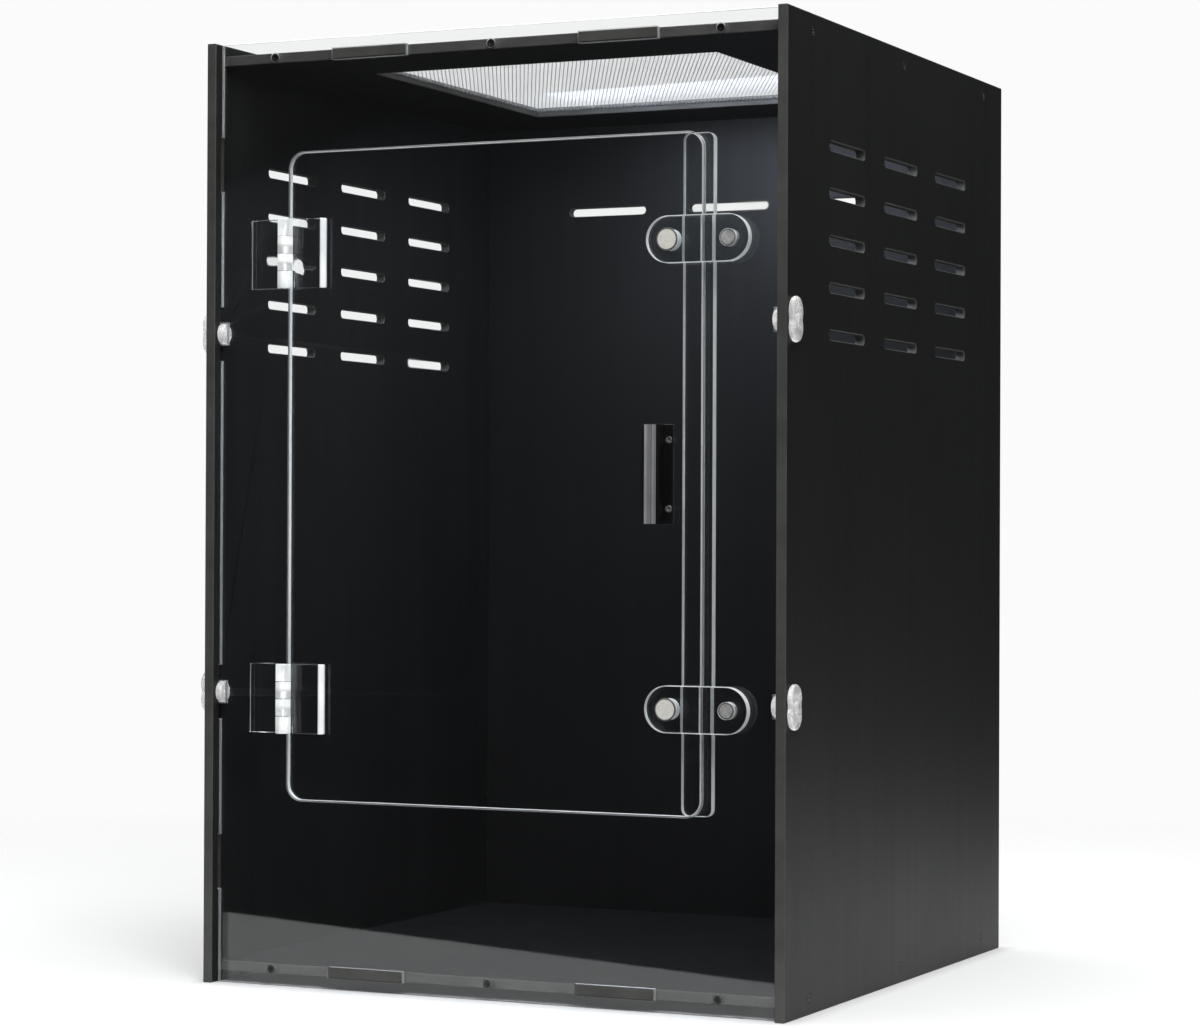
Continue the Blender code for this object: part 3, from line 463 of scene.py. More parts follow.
def dark_metal(name, dark, light, roughness, spread):
    """Black-coated metal whose coating is worn thin in places; with light colours it makes the painted sheen
    on the pull's flutes.
    """
    material, tree, shader = new_material(name, Metallic=0.85, Specular_IOR_Level=0.5)
    grain = place_group(tree, GRAIN, Cloud_size=60.0, Pit_size=2600.0, Streaks=0.7)
    scuff = place_group(tree, SCUFFS, Spread=spread, Fineness=1.6)
    wear_and_sheen = math_node(tree, "ADD", evened(tree, grain["Tone"]), scuff["Mask"])
    feed(tree, shader, Base_Color=blend(tree, wear_and_sheen, dark, light),
         Roughness=evened(tree, grain["Tone"], *roughness),
         Normal=relief(tree, grain["Pits"], 0.2, 0.00003))
    return material


FACE = board_face()
CUT = board_cut()
CLEAR = acrylic_clear()
# Exposed cut edges of the door, stop strip, latch plates and hinge leaves' arrises: a faint painted glow.
OPEN_CUT_GLOW = acrylic_cut("acrylic_cut_open_painted_glow", 0.10, 0.5)
# The front sheet's cut edges: colour halved as painted shade where they meet the boards, with a very faint
# painted glow.
SHUT_CUT_SHADE = acrylic_cut("acrylic_cut_shut_painted_shade", 0.02, 0.15, 0.5)
# The hinge leaves' barrels: milky, and whitened by a painted glow.
KNUCKLE = acrylic_cut("acrylic_knuckle_painted_glow", 0.30, 0.45)
# The front sheet's top edge and the door leaf's bevel: a strong painted glow, a painted highlight.
GLOW_CUT = acrylic_cut("acrylic_cut_painted_glow", 0.55, 0.6)
# Darker metal on the latch discs' rims and sides: painted shade.
RIM_PAINTED_SHADE = bright_metal("rim_painted_shade", (0.10, 0.10, 0.095), (0.26, 0.255, 0.24), (0.3, 0.45), 0.6)
FITTING_CLEAR = acrylic_clear("fitting_clear", (0.02, 0.12), (0.97, 0.98, 0.98))
MOULDED = acrylic_moulded_painted_glow()
PIN_STEEL = bright_metal("pin_steel", (0.78, 0.78, 0.77), (0.93, 0.93, 0.92), (0.25, 0.42))
POST_STEEL = bright_metal("post_steel", (0.84, 0.83, 0.75), (0.99, 0.98, 0.91), (0.4, 0.55), 0.2)
MAGNET_PLATE = bright_metal("magnet_plate", (0.42, 0.405, 0.39), (0.72, 0.70, 0.68), (0.3, 0.5), 0.4)
KEEPER_STEEL = bright_metal("keeper_steel", (0.42, 0.41, 0.40), (0.60, 0.59, 0.57), (0.3, 0.5))
WIRE_METAL = bright_metal("wire_metal", (0.60, 0.63, 0.69), (0.96, 0.98, 1.0), (0.3, 0.5), 0.3, 0.02)
ANODISED = dark_metal("anodised_black", (0.020, 0.020, 0.022), (0.045, 0.045, 0.048), (0.28, 0.4), 0.35)
# Light colours for the pull's flutes: a painted sheen that stands in for their reflections.
ANODISED_PAINTED_SHEEN = dark_metal("anodised_painted_sheen", (0.64, 0.64, 0.65), (0.92, 0.92, 0.94), (0.3, 0.42), 0.5)
# The pull's screws: lighter metal than the other black screws, which paints in their glints.
GLINT_SCREW = bright_metal("handle_screw_painted_glint", (0.22, 0.215, 0.21), (0.50, 0.49, 0.48),
                            (0.18, 0.35), 0.75)
BLACKED = dark_metal("blacked_screw", (0.018, 0.018, 0.018), (0.07, 0.07, 0.07), (0.3, 0.45), 0.6)


# Places of nodes


def middle_of(node):
    """The middle of a node's box."""
    low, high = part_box(node)
    return (low + high) / 2


def outer_end(node):
    """How far a node reaches from the case's middle, to the left or right."""
    low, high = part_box(node)
    return max(-low.x, high.x)


# Outlines in a plane


def even_angles(sides):
    """Angles that share out a full turn, from half a step on."""
    return 2 * math.pi * (np.arange(sides) + 0.5) / sides


def quarter_turn(steps):
    """Angles from nothing to a quarter of a turn."""
    return np.linspace(0, math.pi / 2, steps + 1)


def on_circle(angle):
    """Points on a circle of radius 1 at the given angles."""
    return np.column_stack([np.cos(angle), np.sin(angle)])


def without_doubles(points):
    """Drops each point that lies on the one before it."""
    gaps = np.linalg.norm(points - np.roll(points, 1, axis=0), axis=1)
    return points[gaps > FIT / 100]


def rounded_outline(low, high, radius, steps=CORNER_STEPS):
    """A rectangle between two corners whose own corners are quarter arcs, counter-clockwise."""
    low, high = np.array(low[:2]), np.array(high[:2])
    quarters = []
    for quarter, toward in enumerate(((1, 1), (-1, 1), (-1, -1), (1, -1))):
        middle = (low + high) / 2 + np.array(toward) * ((high - low) / 2 - radius)
        quarters.append(middle + radius * on_circle(quarter * math.pi / 2 + quarter_turn(steps)))
    return without_doubles(np.concatenate(quarters))


def disc_outline(centre, radius, sides=DISC_SIDES):
    """A circle as points at equal angles, counter-clockwise."""
    return np.array(centre) + radius * on_circle(even_angles(sides))


def box_outline(low, high):
    """A plain rectangle, counter-clockwise."""
    return np.array([(low[0], low[1]), (high[0], low[1]), (high[0], high[1]), (low[0], high[1])], float)


def slot_outline(along, up):
    """One vent slot with round ends."""
    middle, half = np.array([along, up]), np.array([SLOT_LENGTH, SLOT_HEIGHT]) / 2
    return rounded_outline(middle - half, middle + half, SLOT_HEIGHT / 2)


def moved_outline(loop, distance):
    """An outline moved outwards: each point goes along the mitre of its two edges' normals."""
    along = np.roll(loop, -1, axis=0) - loop
    along /= np.linalg.norm(along, axis=1, keepdims=True)
    normal = np.column_stack([along[:, 1], -along[:, 0]])
    before = np.roll(normal, 1, axis=0)
    spread = 1 + (normal * before).sum(axis=1, keepdims=True)
    return loop + distance * (normal + before) / spread


# Surfaces


def grid_faces(rows, columns, start=0):
    """Quads between neighbouring rows of a grid of points, each row closed on itself."""
    row, column = np.meshgrid(np.arange(rows - 1), np.arange(columns), indexing="ij")
    following = (column + 1) % columns
    corners = (row * columns + column, row * columns + following,
               (row + 1) * columns + following, (row + 1) * columns + column)
    return np.stack(corners, -1).reshape(-1, 4) + start


def carried(loop, profile, into):
    """An outline carried along a profile: each (inset, depth) pair moves it into the material and down."""
    rings = [np.column_stack([moved_outline(loop, into * inset), np.full(len(loop), depth)])
             for inset, depth in profile]
    return np.stack(rings)


def filled(points, loops):
    """Triangles that fill a flat area between an outer loop of point numbers and the loops inside it."""
    corners = [points[loop].tolist() for loop in loops]
    return np.concatenate(loops)[np.array(tessellate_polygon(corners))]


def broken_edge(thickness, width):
    """The profile of a sheet's edge with a small chamfer front and back."""
    return [(width, 0), (0, width), (0, thickness - width), (width, thickness)]


def rounded_edge(thickness, radius):
    """The profile of a sheet's edge whose front and back corners are quarter arcs."""
    front = [(radius * (1 - math.sin(t)), radius * (1 - math.cos(t))) for t in quarter_turn(EDGE_STEPS)]
    return front + [(inset, thickness - depth) for inset, depth in reversed(front)]


def end_discs(rows, sides):
    """The first and the last ring of a grid of points, as one face each."""
    return [list(range(sides)), list(range((rows - 1) * sides, rows * sides))]


def ring_points(angle, wide, deep):
    """Points about +Z for each ring and angle, from their distances off the axis and along it."""
    wide, deep, angle = np.broadcast_arrays(wide, deep, angle)
    return np.stack([wide * np.cos(angle), wide * np.sin(angle), deep], -1)


def face_middles(points, faces):
    """The middle of each face of a surface."""
    return np.array([points[face].mean(axis=0) for face in faces])


def slab(outline, thickness, width, holes=(), blinds=()):
    """A flat sheet as points (a, b, depth), faces, and for each face 0 on a cap or 1 on an edge.

    The outline and each hole are carried from the front cap to the back cap along their profiles.
    A blind runs from one cap along its own profile and is closed there: a pocket, or outwards a boss.
    """
    plain = broken_edge(thickness, width)
    tubes = [("through", carried(outline, plain, -1))]
    for hole in holes:
        loop, profile = hole if isinstance(hole, tuple) else (hole, plain)
        tubes.append(("through", carried(loop, profile, 1)))
    tubes += [(cap, carried(loop, profile, 1)) for cap, loop, profile in blinds]
    points, walls, floors = [], [], []
    caps = {"front": [], "back": []}
    start = 0
    for kind, rings in tubes:
        rows, columns = rings.shape[:2]
        first = start + np.arange(columns)
        last = first + (rows - 1) * columns
        points.append(rings.reshape(-1, 3))
        walls.append(grid_faces(rows, columns, start))
        if kind == "through":
            caps["front"].append(first)
            caps["back"].append(last)
        else:
            caps[kind].append(first)
            floors.append([last])
        start += rows * columns
    points = np.concatenate(points)
    walls = np.concatenate(walls)
    flats = np.concatenate([filled(points, loops) for loops in (caps["front"], caps["back"], *floors)])
    return points, walls.tolist() + flats.tolist(), np.repeat([1, 0], [len(walls), len(flats)])


def turned(profile, point, axis, sides=DISC_SIDES, bored=False):
    """A profile of (distance along, radius) turned about an axis, closed by its end discs or on itself."""
    along, radius = np.array(profile, float).T[..., None]
    turn = np.array(Vector((0, 0, 1)).rotation_difference(Vector(axis)).to_matrix())
    points = ring_points(even_angles(sides), radius, along).reshape(-1, 3) @ turn.T + np.array(point)
    faces = grid_faces(len(profile), sides).tolist()
    if bored:
        inner = np.arange(sides)
        outer = inner + (len(profile) - 1) * sides
        faces += np.column_stack([outer, np.roll(outer, -1), np.roll(inner, -1), inner]).tolist()
    else:
        faces += end_discs(len(profile), sides)
    return points, faces, np.zeros(len(faces), int)


def laid(surface, axis, start, inward):
    """Takes a slab's (a, b, depth) to the frame: depth runs along an axis from a start, inward or back."""
    points, faces, finish = surface
    a, b, depth = points.T
    depth = start + inward * depth
    columns = {"x": (depth, a, b), "y": (a, depth, b), "z": (a, b, depth)}[axis]
    return np.column_stack(columns), faces, finish


def new_mesh(name, surface, finishes, soft=SOFT_ANGLE):
    """A mesh from a surface, with its faces turned outwards and its round parts shaded smooth."""
    points, faces, finish = surface
    mesh = bpy.data.meshes.new(name)
    mesh.from_pydata(points.tolist(), [], faces)
    for material in finishes:
        mesh.materials.append(material)
    chosen = np.minimum(finish, len(finishes) - 1).astype(np.int32)
    mesh.polygons.foreach_set("material_index", chosen)
    bm = bmesh.new()
    bm.from_mesh(mesh)
    bmesh.ops.recalc_face_normals(bm, faces=bm.faces[:])
    bm.to_mesh(mesh)
    bm.free()
    mesh.shade_smooth()
    mesh.set_sharp_from_angle(angle=soft)
    return mesh


def add_piece(name, node, surface, finishes, soft=SOFT_ANGLE):
    """A finished piece that stands for a CAD node, rides on that node's body and takes the given finishes.
    """
    piece = bpy.data.objects.new(name, new_mesh(name, surface, finishes, soft))
    bpy.context.scene.collection.objects.link(piece)
    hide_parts(node)
    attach(piece, BODY_OF[node])
    return piece


def cut_away(piece, surfaces):
    """Cuts closed surfaces out of a piece and keeps the result as its mesh."""
    tools = []
    for surface in surfaces:
        tool = bpy.data.objects.new("tool", new_mesh("tool", surface, [piece.data.materials[0]]))
        bpy.context.scene.collection.objects.link(tool)
        cut = piece.modifiers.new("cut", "BOOLEAN")
        cut.solver = "EXACT"
        cut.object = tool
        tools.append(tool)
    bpy.context.view_layer.update()
    done = bpy.data.meshes.new_from_object(piece.evaluated_get(bpy.context.evaluated_depsgraph_get()))
    piece.modifiers.clear()
    piece.data = done
    even = piece.modifiers.new("even_normals", "WEIGHTED_NORMAL")
    even.keep_sharp = True
    even.weight = 100
    for tool in tools:
        bpy.data.objects.remove(tool, do_unlink=True)


# Boards


def screw_holes(face, thickness):
    """The countersunk holes of one face, whose profile is measured outwards from the bore."""
    widened = SCREW_HEAD_RADIUS - SCREW_RADIUS + FIT
    profile = [(widened, 0), (widened, BOARD_BREAK), (0, SCREW_HEAD_HEIGHT + FIT), (0, thickness)]
    holes = []
    for node in frame["nodes"]:
        if node.startswith("screw_" + face):
            middle = middle_of(node)
            place = middle.xz if face in ("front", "back") else middle.yz
            holes.append((disc_outline(place, SCREW_RADIUS + FIT, SCREW_HOLE_SIDES), profile))
    return holes


def make_side_board(side):
    """A full-height side board: vent slots, screw holes, and blind pockets for the tabs on its inside."""
    sign = SIDES[side]
    depth = TAB_X - INNER_X + FIT
    half = SIDE_TAB_HEIGHT / 2 + FIT
    holes = []
    for column in (-1, 0, 1):
        for row in range(SLOT_ROWS):
            along = MID_DEPTH - SLOT_FORWARD + column * SLOT_PITCH_ALONG
            holes.append(slot_outline(along, HEIGHT - TOP_SLOT_DROP - row * SLOT_PITCH_UP))
    bolt_profile = [(BOARD_BREAK, 0), (0, BOARD_BREAK), (0, BOARD - depth), (0, BOARD)]
    for height in BOLT_HEIGHTS:
        bolt = ((SHEET_LOW.y + SHEET_HIGH.y) / 2, height)
        holes.append((disc_outline(bolt, SHANK_RADIUS + FIT, WIDE_HOLE_SIDES), bolt_profile))
    holes += screw_holes(side, BOARD)
    blinds = []
    for low, high in ((SHEET_LOW.y, SHEET_HIGH.y), (BACK_LOW.y, BACK_HIGH.y)):
        for middle in TAB_HEIGHTS:
            if low != SHEET_LOW.y or middle not in BOLT_HEIGHTS:
                pocket = box_outline((low - FIT, middle - half), (high + FIT, middle + half))
                blinds.append(("back", pocket, [(0, BOARD), (0, BOARD - depth)]))
    surface = slab(box_outline(SIDE_LOW.yz, SIDE_HIGH.yz), BOARD, BOARD_BREAK, holes, blinds)
    piece = add_piece(side + "_side_board", "side_panel_" + side,
                      laid(surface, "x", sign * HALF_WIDTH, -sign), (FACE, CUT))
    slots_for_bolted_tabs = []
    for middle in BOLT_HEIGHTS:
        pocket = box_outline((SHEET_LOW.y - FIT, middle - half), (SHEET_HIGH.y + FIT, middle + half))
        slots_for_bolted_tabs.append(laid(slab(pocket, 2 * depth, FIT), "x", sign * (INNER_X - depth), sign))
    cut_away(piece, slots_for_bolted_tabs)


def deck_outline():
    """The roof's and the floor's outline seen from above: two tabs forward and two back."""
    front, back = SHEET_HIGH.y + FIT, BACK_LOW.y - FIT
    near = DECK_TAB_OFFSET - DECK_TAB_WIDTH / 2
    far = DECK_TAB_OFFSET + DECK_TAB_WIDTH / 2
    front_edge = [(-BETWEEN_X, front)]
    back_edge = [(BETWEEN_X, back)]
    for left, right in ((-far, -near), (near, far)):
        front_edge += [(left, front), (left, SHEET_LOW.y), (right, SHEET_LOW.y), (right, front)]
        back_edge += [(-left, back), (-left, BACK_HIGH.y), (-right, BACK_HIGH.y), (-right, back)]
    return np.array(front_edge + [(BETWEEN_X, front)] + back_edge + [(-BETWEEN_X, back)])


def make_decks():
    """The floor, the roof with its stepped vent opening, and the ring that holds the mesh down."""
    floor = laid(slab(deck_outline(), BOARD, BOARD_BREAK), "z", FLOOR_HIGH.z, -1)
    add_piece("floor_board", "bottom_panel", floor, (FACE, CUT))
    step = [(REBATE_WIDTH + BOARD_BREAK, 0), (REBATE_WIDTH, BOARD_BREAK), (REBATE_WIDTH, REBATE_DEPTH),
            (0, REBATE_DEPTH), (0, BOARD - BOARD_BREAK), (BOARD_BREAK, BOARD)]
    opening = (box_outline(VENT_LOW, VENT_HIGH), step)
    roof = laid(slab(deck_outline(), BOARD, BOARD_BREAK, [opening]), "z", ROOF_HIGH.z, -1)
    add_piece("roof_board", "top_panel", roof, (FACE, CUT))
    ring = slab(box_outline(RING_LOW, RING_HIGH), RING_HIGH.z - RING_LOW.z, FIT,
                [box_outline(VENT_LOW, VENT_HIGH)])
    add_piece("mesh_ring", "mesh_frame", laid(ring, "z", RING_HIGH.z, -1), (FACE, CUT))


def tabbed_outline(notched):
    """A full-height sheet seen from the front: four tabs on each upright edge, two of them notched."""
    narrow, wide = SHANK_RADIUS + FIT, NUT_RADIUS + FIT
    inner = INNER_X - NUT_HEIGHT - 2 * FIT
    notch = [(TAB_X, -narrow), (INNER_X, -narrow), (INNER_X, -wide), (inner, -wide),
             (inner, wide), (INNER_X, wide), (INNER_X, narrow), (TAB_X, narrow)]
    edge = [(BETWEEN_X, 0.0)]
    for middle in TAB_HEIGHTS:
        low, high = middle - SIDE_TAB_HEIGHT / 2, middle + SIDE_TAB_HEIGHT / 2
        edge += [(BETWEEN_X, low), (TAB_X, low)]
        if notched and middle in BOLT_HEIGHTS:
            edge += [(x, middle + z) for x, z in notch]
        edge += [(TAB_X, high), (BETWEEN_X, high)]
    edge.append((BETWEEN_X, HEIGHT))
    return np.array(edge + [(-x, z) for x, z in reversed(edge)])


def deck_tab_holes():
    """The rectangular holes that the roof's and the floor's tabs fill."""
    half = np.array([DECK_TAB_WIDTH / 2 + FIT, BOARD / 2 + FIT])
    holes = []
    for z in ((ROOF_LOW.z + ROOF_HIGH.z) / 2, (FLOOR_LOW.z + FLOOR_HIGH.z) / 2):
        for x in (-DECK_TAB_OFFSET, DECK_TAB_OFFSET):
            holes.append(box_outline(np.array([x, z]) - half, np.array([x, z]) + half))
    return holes


def make_back_board():
    """The back board with one row of vent slots."""
    holes = [slot_outline(step * SLOT_PITCH_ALONG, HEIGHT - TOP_SLOT_DROP) for step in (-1, 0, 1)]
    holes += deck_tab_holes() + screw_holes("back", BOARD)
    surface = laid(slab(tabbed_outline(False), BACK_HIGH.y - BACK_LOW.y, BOARD_BREAK, holes),
                   "y", BACK_HIGH.y, -1)
    add_piece("back_board", "back_panel", surface, (FACE, CUT))


# Diamond mesh


def diamond_wires(low, high, lean):
    """One family of flattened wires, all leaning the same way off the front-to-back line.

    Wire i is at x = i w + lean (row / 2) w on the row at y = row w, where w is a diamond's width, and its
    middle lies above or below the mesh's middle on every second row. An oval ring of points stands
    round it on each row, and rings outside the mesh's edge are left out.
    """
    reach = ((high - low) / 2).to_2d() - Vector((WIRE_HALF_WIDTH, WIRE_HALF_WIDTH))
    rows = np.arange(-int(reach.y / DIAMOND_WIDTH), int(reach.y / DIAMOND_WIDTH) + 1)
    count = int((reach.x + reach.y / 2) / DIAMOND_WIDTH)
    wires = np.arange(-count, count + 1)
    wire, row = np.meshgrid(wires, rows, indexing="ij")
    x = (wire + lean * row / 2) * DIAMOND_WIDTH
    angle = 2 * math.pi * np.arange(WIRE_SIDES) / WIRE_SIDES
    lift = lean * WIRE_HALF_HEIGHT * (1 - 2 * (row % 2))
    middle = (low + high) / 2
    ring_x = middle.x + x[..., None] + WIRE_HALF_WIDTH * np.cos(angle)
    ring_y = np.broadcast_to(middle.y + (row * DIAMOND_WIDTH)[..., None], ring_x.shape)
    ring_z = middle.z + lift[..., None] + WIRE_HALF_HEIGHT * np.sin(angle)
    kept = np.abs(x) <= reach.x
    first = np.arange(wire.size).reshape(wire.shape)[..., None] * WIRE_SIDES + np.arange(WIRE_SIDES)
    near, far = first[:, :-1], first[:, 1:]
    walls = np.stack([near, far, np.roll(far, -1, -1), np.roll(near, -1, -1)], -1)
    walls = walls[kept[:, :-1] & kept[:, 1:]].reshape(-1, 4)
    edge = np.zeros((len(wires), 1), bool)
    before = np.hstack([edge, kept[:, :-1]])
    after = np.hstack([kept[:, 1:], edge])
    lone = kept & ~before & ~after
    ends = np.concatenate([first[kept & ~before & ~lone], first[kept & ~after & ~lone][:, ::-1]])
    used = np.unique(walls)
    points = np.stack([ring_x, ring_y, ring_z], -1).reshape(-1, 3)[used]
    faces = np.searchsorted(used, walls).tolist() + np.searchsorted(used, ends).tolist()
    return points, faces, np.zeros(len(faces), int)


def make_diamond_mesh():
    """The diamond wire mesh that lies in the roof's rebate, as its two families of wires."""
    low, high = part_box("vent_mesh")
    for name, lean in (("mesh_wires_rightward", 1), ("mesh_wires_leftward", -1)):
        add_piece(name, "vent_mesh", diamond_wires(low, high, lean), (WIRE_METAL,),
                  WIRE_SOFT_ANGLE)


# Clear sheets


def make_front_sheet():
    """The clear front: doorway, keeper holes, screw holes, tab holes and notched tabs."""
    doorway = rounded_outline(np.array(DOOR_LOW.xz) - DOOR_GAP, np.array(DOOR_HIGH.xz) + DOOR_GAP,
                              DOOR_CORNER + DOOR_GAP, DOOR_STEPS)
    holes = [doorway] + deck_tab_holes() + screw_holes("front", SHEET)
    for level in LEVELS:
        keeper = disc_outline(middle_of("latch_keeper_" + level).xz, MAGNET_RADIUS + FIT)
        holes.append((keeper, [(0, 0), (0, SHEET)]))
    points, faces, finish = laid(slab(tabbed_outline(True), SHEET, SHEET_BREAK, holes), "y", SHEET_LOW.y, 1)
    # The top edge's faces take the strong painted glow, a painted highlight along it.
    open_top = np.array([points[face][:, 2].min() for face in faces]) > HEIGHT - 2 * SHEET_BREAK
    surface = (points, faces, np.where(open_top & (finish > 0), 2, finish))
    add_piece("front_sheet", "front_panel", surface, (CLEAR, SHUT_CUT_SHADE, GLOW_CUT))


def make_door_sheet():
    """The clear door with the holes of its posts and of the handle's screws."""
    holes, blinds = [], []
    for level in LEVELS:
        post = disc_outline(middle_of("latch_post_" + level).xz, POST_RADIUS + FIT)
        holes.append((post, [(0, 0), (0, SHEET)]))
        screw = "handle_screw_" + level
        bore = disc_outline(middle_of(screw).xz, SCREW_RADIUS + FIT, SCREW_HOLE_SIDES)
        blinds.append(("front", bore, [(0, 0), (0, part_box(screw)[1].y - DOOR_LOW.y + FIT)]))
    outline = rounded_outline(DOOR_LOW.xz, DOOR_HIGH.xz, DOOR_CORNER, DOOR_STEPS)
    surface = laid(slab(outline, SHEET, SHEET_BREAK, holes, blinds), "y", DOOR_LOW.y, 1)
    add_piece("door_sheet", "door_panel", surface, (CLEAR, OPEN_CUT_GLOW))


def make_stop_strip():
    """The clear strip that the door closes against."""
    low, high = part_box("door_stop_strip")
    outline = rounded_outline(low.xz, high.xz, STRIP_CORNER)
    surface = laid(slab(outline, high.y - low.y, SHEET_BREAK), "y", low.y, 1)
    add_piece("stop_strip_sheet", "door_stop_strip", surface, (CLEAR, OPEN_CUT_GLOW))


# Hinges


def leaf_outline(axis, sign, reach):
    """A hinge leaf in plan: a strip with a bevelled outer edge, tangent to a round barrel at its back."""
    front, bevel, arris = BARREL_RADIUS - LEAF_THICKNESS, LEAF_BEVEL, LEAF_ARRIS
    angle = np.linspace(math.pi / 2, 2 * math.pi + math.asin(front / BARREL_RADIUS), BARREL_STEPS)
    strip = [(reach - bevel - arris, front), (reach - bevel + arris, front + arris),
             (reach - arris, front + bevel - arris), (reach, front + bevel + arris), (reach, BARREL_RADIUS)]
    placed = axis + np.concatenate([BARREL_RADIUS * on_circle(angle), strip]) * (sign, 1)
    return placed if sign > 0 else placed[::-1]


def leaf_finish(points, faces, axis, sign, reach):
    """The finish of each face: 1 on the barrel, 2 on an edge, 3 on the door leaf's bevel, or else 0. All
    three carry a painted glow; the bevel's is a painted highlight.
    """
    off_axis = np.hypot(*(face_middles(points, faces)[:, :2] - axis).T)
    widths = np.array([np.ptp(points[face][:, :2], axis=0).max() for face in faces])
    narrow = widths < 3 * LEAF_ARRIS
    finish = np.where(off_axis < BARREL_RADIUS, 1, 0)
    finish[(off_axis > BARREL_RADIUS) & narrow] = 2
    if sign > 0:
        finish[(off_axis > reach - LEAF_BEVEL) & ~narrow & (widths < LEAF_BEVEL)] = 3
    finish[[len(face) != 4 for face in faces]] = 0
    return finish


def make_hinge(level):
    """The two clear leaves of one hinge and the pin through their knuckles."""
    rod = "hinge_pin_" + level
    pin_low, pin_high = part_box(rod)
    axis = np.array(middle_of(rod).xy)
    radius, height = (pin_high.x - pin_low.x) / 2, pin_high.z - pin_low.z
    pitch = height / KNUCKLES
    clear = BARREL_RADIUS + KNUCKLE_GAP
    foot, up = (*axis, pin_low.z), (0, 0, 1)
    bore = [(-pitch, radius + FIT), (height + pitch, radius + FIT)]
    for name, sign, other_rows in (("panel_leaf", -1, (0, 2)), ("door_leaf", 1, (1, 3))):
        node = "hinge_" + name + "_" + level
        low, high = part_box(node)
        reach = max(abs(low.x - axis[0]), abs(high.x - axis[0]))
        blank = slab(leaf_outline(axis, sign, reach), height, LEAF_ROUND)
        points, faces, _ = laid(blank, "z", pin_high.z, -1)
        surface = (points, faces, leaf_finish(points, faces, axis, sign, reach))
        leaf = add_piece(level + "_hinge_" + name, node, surface,
                         (FITTING_CLEAR, KNUCKLE, OPEN_CUT_GLOW, GLOW_CUT))
        tools = []
        for row in other_rows:
            top = pin_high.z - row * pitch + (KNUCKLE_GAP / 2 if row else pitch)
            bottom = pin_high.z - (row + 1) * pitch - (KNUCKLE_GAP / 2 if row < KNUCKLES - 1 else pitch)
            room = slab(box_outline(axis - clear, axis + clear), top - bottom, FIT)
            tools.append(laid(room, "z", top, -1))
        cut_away(leaf, tools + [turned(bore, foot, up, NUT_SIDES)])
    tip = radius / 3
    profile = [(0, radius - tip), (tip, radius), (height - tip, radius), (height, radius - tip)]
    add_piece(level + "_hinge_rod", rod, turned(profile, foot, up, PIN_SIDES), (PIN_STEEL,))


# Latches


def ringed_disc(radius, height, edge, rings, groove):
    """The profile of a turned disc from its face: concentric grooves, a rounded rim, and its side."""
    steps = np.arange(GROOVE_STEPS * rings + 1)
    across = np.linspace(DISC_EYE, 1 - edge / radius, len(steps)) * radius
    depth = groove * (0.5 - 0.5 * np.cos(steps * 2 * math.pi / GROOVE_STEPS))
    turn = quarter_turn(EDGE_STEPS)[1:]
    rim = [(edge * (1 - math.cos(t)), radius - edge + edge * math.sin(t)) for t in turn]
    return list(zip(depth, across)) + rim + [(height, radius)]


def dark_rimmed(profile, middle, near, radius):
    """A profile turned about a front-to-back line, whose rim and side take a darker finish as painted shade.
    """
    points, faces, _ = turned(profile, (middle.x, near, middle.z), (0, 1, 0))
    off_axis = np.hypot(*(face_middles(points, faces)[:, [0, 2]] - np.array(middle.xz)).T)
    return points, faces, (off_axis > DARK_RIM * radius).astype(int)


def make_latch(level):
    """A clear plate on a turned post, with a magnet let into its back and a keeper in the front sheet."""
    parts = ("plate", "post", "magnet", "keeper")
    plate, post, magnet, keeper = ("latch_" + part + "_" + level for part in parts)
    low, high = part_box(plate)
    thickness = high.y - low.y
    hole = (disc_outline(middle_of(post).xz, POST_RADIUS + FIT), [(0, 0), (0, thickness)])
    pocket = ("back", disc_outline(middle_of(magnet).xz, MAGNET_RADIUS + FIT),
              [(0, thickness), (0, thickness - MAGNET_HEIGHT - FIT)])
    outline = rounded_outline(low.xz, high.xz, (high.z - low.z) / 2, LATCH_STEPS)
    surface = laid(slab(outline, thickness, SHEET_BREAK, [hole], [pocket]), "y", low.y, 1)
    add_piece(level + "_latch_sheet", plate, surface, (FITTING_CLEAR, OPEN_CUT_GLOW))

    low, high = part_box(post)
    length, cap_radius = high.y - low.y, (high.x - low.x) / 2
    profile = ringed_disc(cap_radius, STUD_CAP, *STUD_RINGS)
    profile += [(STUD_CAP, POST_RADIUS), (length - FIT, POST_RADIUS), (length, POST_RADIUS - FIT)]
    stud = dark_rimmed(profile, middle_of(post), low.y, cap_radius)
    add_piece(level + "_latch_stud", post, stud, (POST_STEEL, RIM_PAINTED_SHADE))

    profile = ringed_disc(MAGNET_RADIUS, MAGNET_HEIGHT, *MAGNET_RINGS)
    disc = dark_rimmed(profile, middle_of(magnet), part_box(magnet)[0].y, MAGNET_RADIUS)
    add_piece(level + "_latch_disc_magnet", magnet, disc, (MAGNET_PLATE, RIM_PAINTED_SHADE))
    low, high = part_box(keeper)
    middle = middle_of(magnet)
    profile = ringed_disc(MAGNET_RADIUS, high.y - low.y, *KEEPER_RINGS)
    disc = turned(profile, (middle.x, low.y, middle.z), (0, 1, 0))
    add_piece(level + "_latch_disc_keeper", keeper, disc, (KEEPER_STEEL,))


# Handle


